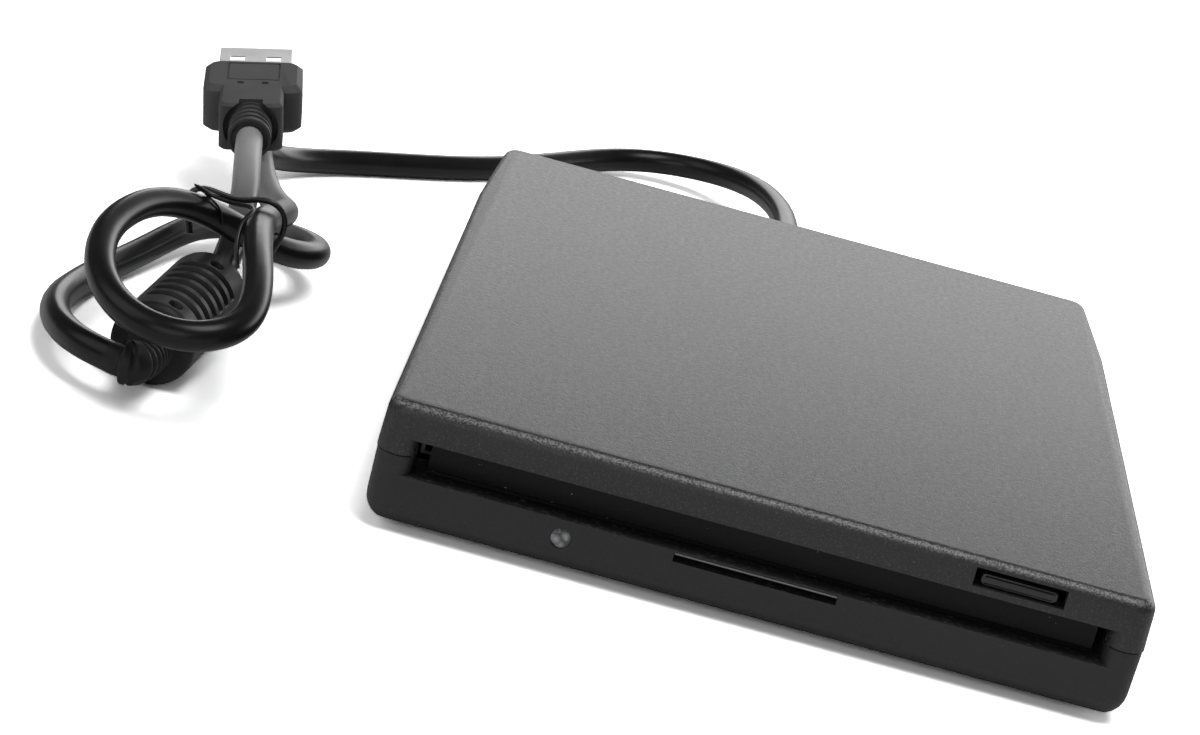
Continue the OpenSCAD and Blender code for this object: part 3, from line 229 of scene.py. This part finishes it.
def vinyl(name, color, roughness, bloom, bloom_at, bloom_reach):
    """Soft vinyl with faint waves, and a painted sheen: a pale tone, a painted reflection, that fades out
    between two distances from a place.
    """
    s = Shader(name)
    s.set(specular=0.27)
    waves = s.noise(6 * MM)
    fine = s.noise(0.25 * MM, 3.0)
    haze = s.ramp(s.noise(11 * MM, 3.0), 0.45, 0.75)
    tone = s.mix(haze, color, tuple(c * 1.5 + 0.003 for c in color))
    far = s.add("ShaderNodeVectorMath", operation="DISTANCE")
    far.inputs[1].default_value = bloom_at
    s.link(s.place, far.inputs[0])
    near = s.ramp(far.outputs["Value"], *bloom_reach, 1.0, 0.0)
    # painted reflection: near the place the colour turns to the pale painted sheen
    tone = s.mix(near, tone, s.mix(haze, bloom, toned(bloom, 1.15)))
    rough = s.math("ADD", s.ramp(fine, 0.3, 0.7, roughness - 0.006, roughness + 0.006), s.times(near, 0.1))
    normal = s.bump(fine, 0.0008 * MM, under=s.bump(waves, 0.05 * MM))
    return s.finish(tone, rough, normal)


ALL_WAYS = (1, 1, 1)


def rolled_metal(name, color, roughness, streak=(1, 14, 1), depth=0.0015 * MM):
    """Sheet or turned metal with fine lines, pressed together by the streak's factors."""
    s = Shader(name)
    s.set(metallic=1.0)
    lines = s.noise(0.9 * MM, 3.0, s.stretched(streak))
    cloud = s.noise(7 * MM, 3.0)
    tone = s.mix(s.ramp(cloud, 0.3, 0.7), toned(color, 0.86), color)
    rough = s.ramp(lines, 0.3, 0.7, roughness - 0.06, roughness + 0.08)
    return s.finish(tone, rough, s.bump(lines, depth))


def circuit_board(name, color, copper):
    """Solder mask over tracks."""
    s = Shader(name)
    s.set(specular=0.5)
    tracks = s.ramp(s.cells(2.6 * MM, feature="DISTANCE_TO_EDGE"), 0.05, 0.09, 1.0, 0.0)
    tone = s.mix(tracks, color, copper)
    return s.finish(tone, s.ramp(s.noise(0.6 * MM), 0.3, 0.7, 0.3, 0.42), s.bump(tracks, 0.01 * MM))


def clear_lens(name, bright, dark):
    """Clear moulded lens with a faceted back, whose colour is painted in bright and dark spots over the
    facets: painted highlights and painted shade.
    """
    s = Shader(name)
    s.set(specular=0.5, transmission=0.45, ior=1.5, coat=0.5, coat_roughness=0.05)
    facets = s.ramp(s.cells(1.1 * MM), 0.1, 0.7)
    # painted highlights and shade: the facets' colour runs from the bright tone to the dark one
    return s.finish(s.mix(facets, bright, dark), s.ramp(facets, 0, 1, 0.06, 0.2), s.bump(facets, 0.3 * MM))


MATERIALS = {}


def add_material(make, name, *values, **settings):
    MATERIALS[name] = make(name, *values, **settings)


# the top's slanted edges get a painted highlight, speckled by the grain
add_material(grained_plastic, "top_plastic", (0.024, 0.024, 0.0245), 0.4,
             depth=0.055 * MM, dust=0.35, pale=3.0, worn=0.8)
add_material(grained_plastic, "base_plastic", (0.025, 0.025, 0.0255), 0.5,
             depth=0.012 * MM, dust=0.1, pale=1.5, specular=0.4, lying=0.35)
add_material(grained_plastic, "door_plastic", (0.008, 0.008, 0.0085), 0.42,
             depth=0.008 * MM, dust=0.9, pale=1.6, specular=0.2)
add_material(smooth_plastic, "button_plastic", (0.012, 0.012, 0.013), 0.16, coat=0.4)
# the lens's bright and dark tones are painted highlights and painted shade
add_material(clear_lens, "lens_plastic", (0.9, 0.91, 0.93), (0.12, 0.12, 0.13))
add_material(smooth_plastic, "rubber_black", (0.016, 0.016, 0.016), 0.62, 0.35, scratch=0.01 * MM)
# the cord and the grip are painted paler near the plug end, a painted reflection
add_material(vinyl, "cord_vinyl", (0.009, 0.009, 0.0095), 0.3, bloom=(0.38, 0.38, 0.38),
             bloom_at=(-0.084, 0.034, 0.034), bloom_reach=(0.018, 0.036))
add_material(vinyl, "grip_vinyl", (0.015, 0.015, 0.0155), 0.5, bloom=(0.08, 0.08, 0.082),
             bloom_at=(-0.09, 0.06, 0.02), bloom_reach=(0.014, 0.036))
add_material(smooth_plastic, "tie_plastic", (0.008, 0.008, 0.008), 0.34)
add_material(rolled_metal, "plug_steel", (0.98, 0.98, 0.98), 0.42, depth=0.0002 * MM)
add_material(rolled_metal, "contact_gold", (0.9, 0.66, 0.26), 0.2)
add_material(smooth_plastic, "white_plastic", (0.72, 0.71, 0.67), 0.4)
add_material(rolled_metal, "sheet_steel", (0.62, 0.63, 0.65), 0.36)
add_material(rolled_metal, "bright_steel", (0.72, 0.72, 0.73), 0.16, streak=ALL_WAYS)
add_material(rolled_metal, "spring_steel", (0.5, 0.51, 0.52), 0.28, streak=(12, 1, 12))
add_material(rolled_metal, "screw_steel", (0.16, 0.16, 0.17), 0.34, streak=ALL_WAYS)
add_material(circuit_board, "board_green", (0.012, 0.12, 0.045), (0.03, 0.2, 0.08))
add_material(smooth_plastic, "chip_black", (0.02, 0.02, 0.021), 0.55)
add_material(rolled_metal, "copper_wire", (0.72, 0.33, 0.13), 0.3, streak=(6, 6, 1))
add_material(rolled_metal, "bronze", (0.56, 0.38, 0.18), 0.44, streak=ALL_WAYS)
add_material(smooth_plastic, "carriage_plastic", (0.03, 0.03, 0.033), 0.48)
add_material(smooth_plastic, "head_ceramic", (0.2, 0.12, 0.075), 0.18)
add_material(smooth_plastic, "cable_grey", (0.42, 0.44, 0.46), 0.5)


# ---- meshes and pieces ----

def paint(obj, slot):
    obj.data.materials.clear()
    obj.data.materials.append(MATERIALS[slot])


def smooth(mesh, angle):
    """Smooth shading, except across edges sharper than an angle in degrees."""
    for polygon in mesh.polygons:
        polygon.use_smooth = True
    mesh.set_sharp_from_angle(angle=math.radians(angle))


def stitch(b, rings):
    """Bands of faces between each closed ring of vertices and the next."""
    for ring, following in zip(rings, rings[1:]):
        for k in range(len(ring)):
            j = (k + 1) % len(ring)
            b.faces.new((ring[k], ring[j], following[j], following[k]))


def mesh_from(b, name, angle):
    """The finished mesh of a closed form, with its faces turned outward."""
    bmesh.ops.recalc_face_normals(b, faces=b.faces)
    mesh = bpy.data.meshes.new(name)
    b.to_mesh(mesh)
    b.free()
    smooth(mesh, angle)
    return mesh


def swept(name, path, radii, sides=20, groove=0.0):
    """A closed tube along a path, one radius per point, with a groove along two sides."""
    count = len(path)
    tangents = [(path[min(i + 1, count - 1)] - path[max(i - 1, 0)]).normalized() for i in range(count)]
    turns = [math.tau * k / sides for k in range(sides)]
    side = tangents[0].orthogonal().normalized()
    b = bmesh.new()
    rings = []
    for point, tangent, radius in zip(path, tangents, radii):
        side = (side - side.dot(tangent) * tangent).normalized()
        up = tangent.cross(side)
        ring = []
        for turn in turns:
            reach = radius * (1 - groove * math.sin(turn) ** 8)
            ring.append(b.verts.new(point + reach * (math.cos(turn) * side + math.sin(turn) * up)))
        rings.append(ring)
    stitch(b, rings)
    b.faces.new(list(reversed(rings[0])))
    b.faces.new(rings[-1])
    return mesh_from(b, name, 50)


def new_piece(name, mesh, body, slot, *nodes):
    """A visible piece on a body, which stands for the nodes named, if any."""
    obj = bpy.data.objects.new(name, mesh)
    bpy.context.scene.collection.objects.link(obj)
    paint(obj, slot)
    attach(obj, body)
    if nodes:
        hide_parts(*nodes)
    return obj


# radius of the rounded edges of the nodes that show, in millimetres
EDGES = {"top_cover": 0.14, "bottom_cover": 0.14, "disk_door": 0.1, "eject_button": 0.08,
         "rubber_feet": 0.15, "strain_relief": 0.12, "plug_grip": 0.2, "plug_shell": 0.1}
SHARP_ANGLE = 30
FLAT_ANGLE = 0.5
WELD = 1e-6


def refined(node, edge):
    """A copy of a node with clean faces and rounded edges, which stands for the node."""
    mesh = NODES[node].data.copy()
    b = bmesh.new()
    b.from_mesh(mesh)
    bmesh.ops.remove_doubles(b, verts=b.verts, dist=WELD)
    bmesh.ops.dissolve_limit(b, angle_limit=math.radians(FLAT_ANGLE), verts=b.verts, edges=b.edges)
    b.to_mesh(mesh)
    b.free()
    smooth(mesh, SHARP_ANGLE)
    obj = new_piece(node + "_piece", mesh, BODY_OF[node], SLOT_OF[node], node)
    bevel = obj.modifiers.new("edges", "BEVEL")
    bevel.width = edge
    bevel.segments = 3
    bevel.limit_method = "ANGLE"
    bevel.angle_limit = math.radians(SHARP_ANGLE)
    bevel.harden_normals = True
    bevel.use_clamp_overlap = True


# ---- paths ----

def curve_through(points):
    """A smooth path in metres, led by points in millimetres, which starts and ends on the outer ones."""
    steps = 10
    p = [Vector(q) * MM for q in points]
    q = [2 * p[0] - p[1], *p, 2 * p[-1] - p[-2]]
    path = []
    for i in range(len(p) - 1):
        for k in range(steps):
            t = k / steps
            weights = ((1 - t) ** 3, 3 * t ** 3 - 6 * t * t + 4, -3 * t ** 3 + 3 * t * t + 3 * t + 1, t ** 3)
            path.append(sum((w * c for w, c in zip(weights, q[i:i + 4])), Vector()) / 6)
    return path + [p[-1]]


def cubic(handles):
    """A curve from the first of four handles to the last, which the middle two draw towards them."""
    count = 400
    path = []
    for i in range(count + 1):
        t = i / count
        weights = ((1 - t) ** 3, 3 * t * (1 - t) ** 2, 3 * t * t * (1 - t), t ** 3)
        path.append(sum((w * h for w, h in zip(weights, handles)), Vector()))
    return path


def spaced(path, step):
    """The path's points again at even distances."""
    points, left = [path[0]], step
    for a, b in zip(path, path[1:]):
        reach = (b - a).length
        while left <= reach:
            points.append(a.lerp(b, left / reach))
            left += step
        left -= reach
    return points


# ---- cord, from the case to the sleeve and from the sleeve to the plug; points in millimetres ----

CORD_D = 4.3 * MM
LEAD = [(0, 84, 9), (0, 91, 9), (0, 100, 9), (-1, 111, 8.8), (-4, 125, 7.8), (-9, 136, 6.4),
        (-16.5, 143, 4.8), (-26, 144, 3.6), (-35, 139, 2.6), (-44.5, 125, 2.2), (-54.5, 111, 2.2),
        (-65.5, 101, 2.2), (-77, 91.5, 2.2), (-86, 81, 2.6), (-89.6, 70, 5.4), (-89, 60, 8.6),
        (-87.6, 50, 10.6), (-85.4, 40, 10.4), (-82.4, 30, 10.4)]
BUNDLE = [(-79.6, 20, 12), (-77.4, 11, 14.2), (-77.6, 2, 16.2), (-78.8, -8, 17.9), (-78, -17, 18.5),
          (-76.6, -26, 18.4), (-74.8, -34.6, 17.9), (-73.5, -42.4, 16.8), (-73.5, -49, 15.3),
          (-76.6, -54, 14), (-82, -55.8, 13.3), (-87.8, -53.6, 13.4), (-92.2, -49, 14.2),
          (-95.2, -43, 15.3), (-96.8, -36.4, 16.5), (-97.2, -29.4, 17.6), (-96, -22.2, 18.4),
          (-93.8, -15.2, 18.5), (-90, -9, 17.5), (-85.2, -3, 14.8), (-80, 2.4, 11.4), (-75.4, 7, 9.2),
          (-72.2, 13.4, 7.8), (-72, 20.8, 6.6), (-74.6, 27.4, 5.4), (-80, 31.4, 4.6), (-86.6, 31, 4.4),
          (-91.6, 25.8, 4.2), (-94.2, 19, 3.8), (-96.2, 12, 3.2), (-98.6, 4, 2.6), (-101, -4.6, 2.4),
          (-102.6, -13.4, 2.5), (-103, -22.4, 3.2), (-102, -31.4, 4.2), (-99.4, -40, 5.1),
          (-95, -46.8, 5.8), (-89.4, -50, 6)]
END = [(-84, -10, 6), (-83.6, -2, 6), (-83.9, 6, 7.4), (-84.2, 13, 10.4), (-85.4, 21.4, 13.4),
       (-87.2, 30.5, 15), (-88.7, 40, 15.7)]
LEAD_PATH = curve_through(LEAD + BUNDLE)
END_PATH = curve_through(END)
SLEEVE_FRONT = Vector((-86.4, -41, 6)) * MM
SLEEVE_REAR = Vector((-84.02, -10.2, 6)) * MM


def make_cord(name, path, *nodes):
    return new_piece(name, swept(name, path, [CORD_D / 2] * len(path)), "case", "cord_vinyl", *nodes)


# ---- relief between the cord and the sleeve ----

# (distance along, radius) in millimetres: a neck on the cord, then the collar with its groove
COLLAR = [(0, 2.18), (1.7, 2.18), (1.75, 2.8), (1.9, 3.05), (2.3, 3.12), (2.4, 2.8), (2.6, 2.8), (2.7, 3.12),
          (3.5, 3.12), (3.7, 2.9), (3.75, 2.3), (4.1, 2.3)]
RIBS = 8
RIB_PITCH = 1.05
# how far the relief reaches over the cord and into the sleeve
OVER_CORD, INTO_SLEEVE = 0.6, 0.3
# how far the middle handles of its curve stand off its start and the sleeve's front
START_HANDLE, SLEEVE_HANDLE = 6, 2.5
RELIEF_STEP = 0.1


def relief_profile():
    """The collar, then ribs that grow towards the sleeve."""
    profile = list(COLLAR)
    for i in range(RIBS):
        at, reach, waist = COLLAR[-1][0] + RIB_PITCH * i, 2.85 + 0.1 * i, 2.3 + 0.09 * i
        profile += [(at + 0.06, reach - 0.15), (at + 0.2, reach), (at + 0.52, reach),
                    (at + 0.66, reach - 0.15), (at + 0.72, waist), (at + RIB_PITCH, waist)]
    return profile


def radius_at(profile, at):
    """The radius at a distance along a profile, which runs straight between its points."""
    for (a, first), (b, second) in zip(profile, profile[1:]):
        if at <= b:
            return first + (second - first) * max(0, at - a) / (b - a)
    return profile[-1][1]


def make_sleeve_relief():
    """The bent relief between the cord and the sleeve."""
    leave = (LEAD_PATH[-1] - LEAD_PATH[-2]).normalized()
    arrive = (SLEEVE_REAR - SLEEVE_FRONT).normalized()
    start = LEAD_PATH[-1] - OVER_CORD * MM * leave
    path = cubic((start, start + START_HANDLE * MM * leave, SLEEVE_FRONT - SLEEVE_HANDLE * MM * arrive,
                  SLEEVE_FRONT + INTO_SLEEVE * MM * arrive))
    path = spaced(path, RELIEF_STEP * MM)
    profile = relief_profile()
    radii = [radius_at(profile, i * RELIEF_STEP) * MM for i in range(len(path))]
    mesh = swept("sleeve_relief_piece", path, radii, 40)
    return new_piece("sleeve_relief_piece", mesh, "case", "grip_vinyl", "sleeve_relief")


# ---- ferrite sleeve, in millimetres ----

SLEEVE_R = 6
SLEEVE_ROUNDING = 1.6
# the direction that one of the two faces looks in
SLEEVE_FACE = Vector((0.276, 0, 0.961))
SLEEVE_RINGS, SLEEVE_SIDES = 220, 180
SLOTS_AT = [6.1 + 3.3 * i for i in range(6)]
SLOT_HALF, SLOT_DEPTH, SLOT_SOFT = 0.82, 1.1, 0.14
SLOT_TURN, SLOT_END_SOFT = math.radians(52), 0.3
SEAM_HALF, SEAM_DEPTH, SEAM_SOFT = 0.08, 0.14, 0.1
HOLES_AT = (3.0, 25.4)
HOLE_R, HOLE_DEPTH, HOLE_SOFT = 0.92, 1.6, 0.1
HOLE_LONG, HOLE_WIDE = 1.25, 1.05


def dip(distance, half, soft):
    """1 inside a half width, 0 outside it, and smooth over a soft edge."""
    t = max(0, min(1, (half + soft - distance) / (2 * soft)))
    return t * t * (3 - 2 * t)


def sleeve_sink(along, off):
    """How deep the slots, seams and holes reach at a distance along the sleeve and an angle off its face."""
    sink = max(dip(abs(along - at), SLOT_HALF, SLOT_SOFT) for at in SLOTS_AT) * SLOT_DEPTH
    sink *= dip(off * SLEEVE_R, SLOT_TURN * SLEEVE_R - SLOT_END_SOFT, SLOT_END_SOFT)
    sink += SEAM_DEPTH * dip(abs(off - math.pi / 2) * SLEEVE_R, SEAM_HALF, SEAM_SOFT)
    for at in HOLES_AT:
        away = math.hypot((along - at) / HOLE_LONG, off * SLEEVE_R / HOLE_WIDE)
        sink += HOLE_DEPTH * dip(away, HOLE_R, HOLE_SOFT)
    return sink


def make_sleeve():
    """Two half shells with rounded ends; each face has a row of slots between two holes."""
    length = (SLEEVE_REAR - SLEEVE_FRONT).length / MM
    axis = (SLEEVE_REAR - SLEEVE_FRONT).normalized()
    face = (SLEEVE_FACE - SLEEVE_FACE.dot(axis) * axis).normalized()
    side = axis.cross(face)
    b = bmesh.new()
    rings = []
    for i in range(SLEEVE_RINGS + 1):
        along = length * (i / SLEEVE_RINGS)
        to_end = min(along, length - along)
        skin = SLEEVE_R
        if to_end < SLEEVE_ROUNDING:
            skin -= SLEEVE_ROUNDING * (1 - math.sqrt(1 - (1 - to_end / SLEEVE_ROUNDING) ** 2))
        ring = []
        for k in range(SLEEVE_SIDES):
            turn = math.tau * k / SLEEVE_SIDES
            off = abs((turn + math.pi / 2) % math.pi - math.pi / 2)
            reach = (skin - sleeve_sink(along, off)) * MM
            ring.append(b.verts.new(SLEEVE_FRONT + along * MM * axis
                                    + reach * (math.cos(turn) * face + math.sin(turn) * side)))
        rings.append(ring)
    stitch(b, rings)
    for ring, place in ((rings[0], SLEEVE_FRONT), (rings[-1], SLEEVE_REAR)):
        middle = b.verts.new(place)
        for k in range(SLEEVE_SIDES):
            b.faces.new((ring[k], ring[(k + 1) % SLEEVE_SIDES], middle))
    mesh = mesh_from(b, "ferrite_sleeve_piece", 60)
    return new_piece("ferrite_sleeve_piece", mesh, "case", "grip_vinyl", "ferrite_sleeve")


# ---- twist tie: its loop and its two loose strands, in millimetres ----

TIE_R = 0.54
TIE = [(-88.8, -1.8, 8.8), (-89.8, -0.6, 11.4), (-91, 0, 14.4), (-90.8, -0.6, 17.2), (-88.6, -3.4, 18.9),
       (-85, -6.6, 19.3), (-81.8, -8.6, 19.9), (-78.8, -9.4, 21.6), (-75.4, -9, 20.3), (-75.3, -8, 16),
       (-76.8, -7.2, 12.6), (-78.8, -6.2, 8.4), (-80.9, -5.2, 4.2), (-84, -4.6, 2.5), (-87.1, -4.2, 3.8),
       (-88.2, -3.8, 6.8)]
TIE_CUT = 7
LONG_STRAND = [(-89.6, -8, 20.3), (-88.5, -7.3, 19.6), (-87, -6.8, 19), (-85, -7.2, 18.9),
               (-82.6, -9.4, 19.4), (-80.2, -12, 20.5), (-79.6, -14, 20.5), (-80.2, -16, 20.1),
               (-80.6, -18, 19), (-80.4, -20, 17.4), (-79.8, -22, 16), (-79, -24, 14.8)]
SHORT_STRAND = [(-88, -7, 19), (-87.2, -6.8, 18.6), (-86.3, -6.8, 18.1), (-85.4, -6.3, 17.3),
                (-84.8, -6.2, 16.2), (-84.5, -6, 14.8)]
# name, radius and points
STRANDS = (("tie_strand_long", 0.34, LONG_STRAND), ("tie_strand_short", 0.18, SHORT_STRAND))


def make_tie():
    """The tie, without the first points of its path, and its strands, which start thin."""
    path = curve_through(TIE)[TIE_CUT:]
    mesh = swept("twist_tie_piece", path, [TIE_R * MM] * len(path), 16, groove=0.4)
    pieces = [new_piece("twist_tie_piece", mesh, "case", "tie_plastic", "twist_tie")]
    for name, radius, points in STRANDS:
        path = curve_through(points)
        radii = [radius * MM * min(1, 0.25 + 0.12 * i) for i in range(len(path))]
        pieces.append(new_piece(name, swept(name, path, radii, 12), "case", "tie_plastic"))
    return pieces


# ---- details of the front, in millimetres ----

NOTCH_BAR_AT = (0.3, -70.82, 7.7)
NOTCH_BAR_HALF = 10.85
NOTCH_BAR_R = 0.13
NOTCH_BAR_STEPS = 24

BUTTON_AT = (33.4, -70.03, 15.14)
# (half width, half height, depth behind the foremost point), from the panel over the rim to the rear
BUTTON_LAYERS = ((4.3, 0.3, 0.16), (4.62, 0.46, 0.16), (4.74, 0.54, 0.06), (4.88, 0.64, 0),
                 (5.04, 0.76, 0.03), (5.16, 0.84, 0.14), (5.22, 0.88, 0.34), (5.22, 0.88, 2.1))
BUTTON_ROUNDNESS = 0.72
CORNER_STEPS = 8


def make_notch_bar():
    """The thin steel bar behind the finger notch's upper edge."""
    x, y, z = (c * MM for c in NOTCH_BAR_AT)
    half = NOTCH_BAR_HALF * MM
    path = [Vector((x - half + 2 * half * i / NOTCH_BAR_STEPS, y, z)) for i in range(NOTCH_BAR_STEPS + 1)]
    mesh = swept("notch_bar", path, [NOTCH_BAR_R * MM] * len(path), 16)
    return new_piece("notch_bar", mesh, "case", "screw_steel")


def make_button_cap():
    """The button's face: a raised, rounded rim round a shallow panel."""
    x, y, z = BUTTON_AT
    b = bmesh.new()
    rings = []
    for half_w, half_h, back in BUTTON_LAYERS:
        corner = half_h * BUTTON_ROUNDNESS
        ring = []
        for quarter in range(4):
            corner_x = x + (half_w - corner) * (1 if quarter in (0, 3) else -1)
            corner_z = z + (half_h - corner) * (1 if quarter < 2 else -1)
            for k in range(CORNER_STEPS + 1):
                a = math.pi / 2 * (quarter + k / CORNER_STEPS)
                place = (corner_x + corner * math.cos(a), y + back, corner_z + corner * math.sin(a))
                ring.append(b.verts.new(Vector(place) * MM))
        rings.append(ring)
    stitch(b, rings)
    b.faces.new(rings[0])
    b.faces.new(rings[-1])
    return new_piece("button_cap", mesh_from(b, "button_cap", 50), BODY_OF["eject_button"], "button_plastic")


# ---- stage ----

WORLD_LIGHT = 0.46
FLOOR_GREY = 0.86
FLOOR_HALF = 6.0
# what the camera sees added to the floor's light, so that the paper shows white but keeps the shadow
FLOOR_LIFT = 2.2
# name, place, target, size and watts
SOFTBOXES = (
    ("softbox_rear", (0.5, 1.1, 0.34), (0, 0.05, 0.02), (2.2, 0.42), 8.4),
    ("softbox_over", (0.2, -0.2, 1.2), (0, 0, 0), (0.6, 0.7), 7),
    ("softbox_left", (-0.9, -0.1, 0.7), (0, 0, 0), (0.8, 0.8), 1.8),
    ("softbox_front", (-0.35, -1.3, 0.55), (0, 0, 0), (1.2, 0.7), 3.6),
)


def make_floor():
    b = bmesh.new()
    bmesh.ops.create_grid(b, x_segments=4, y_segments=4, size=FLOOR_HALF)
    mesh = bpy.data.meshes.new("floor")
    b.to_mesh(mesh)
    b.free()
    floor = bpy.data.objects.new("floor", mesh)
    bpy.context.scene.collection.objects.link(floor)
    s = Shader("floor_paper")
    s.set(color=(FLOOR_GREY,) * 3, roughness=0.9, specular=0.0)
    seen = s.add("ShaderNodeLightPath").outputs["Is Camera Ray"]
    again = s.add("ShaderNodeBsdfDiffuse")
    s.link(s.mix(seen, (0, 0, 0), (FLOOR_LIFT,) * 3), again.inputs["Color"])
    both = s.add("ShaderNodeAddShader")
    s.link(s.bsdf.outputs["BSDF"], both.inputs[0])
    s.link(again.outputs["BSDF"], both.inputs[1])
    s.link(both.outputs["Shader"], s.tree.nodes["Material Output"].inputs["Surface"])
    mesh.materials.append(s.material)


def make_world():
    """A dark, even surround, which is brighter to the camera and in reflections than as light."""
    world = bpy.data.worlds.new("studio")
    bpy.context.scene.world = world
    world.use_nodes = True
    tree = world.node_tree
    background = tree.nodes["Background"]
    path = tree.nodes.new("ShaderNodeLightPath")
    seen = tree.nodes.new("ShaderNodeMath")
    seen.operation = "MAXIMUM"
    tree.links.new(path.outputs["Is Camera Ray"], seen.inputs[0])
    tree.links.new(path.outputs["Is Glossy Ray"], seen.inputs[1])
    level = tree.nodes.new("ShaderNodeMapRange")
    level.inputs["To Min"].default_value = WORLD_LIGHT
    level.inputs["To Max"].default_value = 1.0
    tree.links.new(seen.outputs["Value"], level.inputs["Value"])
    tree.links.new(level.outputs["Result"], background.inputs["Strength"])


def make_light(name, place, target, size, watts):
    data = bpy.data.lights.new(name, "AREA")
    data.shape = "RECTANGLE"
    data.size, data.size_y = size
    data.energy = watts
    light = bpy.data.objects.new(name, data)
    bpy.context.scene.collection.objects.link(light)
    light.location = place
    light.rotation_mode = "QUATERNION"
    light.rotation_quaternion = (Vector(target) - Vector(place)).to_track_quat("-Z", "Y")


# ---- build ----

make_camera()
make_floor()
make_world()
for softbox in SOFTBOXES:
    make_light(*softbox)
cord = make_cord("cord_piece", LEAD_PATH, "cord_lead", "cord_bundle")
cord_end = make_cord("cord_end_piece", END_PATH, "cord_end")
relief = make_sleeve_relief()
sleeve = make_sleeve()
tie = make_tie()
make_notch_bar()
make_button_cap()
for node, edge in EDGES.items():
    refined(node, edge * MM)
for name, obj in NODES.items():
    paint(obj, SLOT_OF[name])

scene = bpy.context.scene
scene.view_settings.view_transform = "Standard"
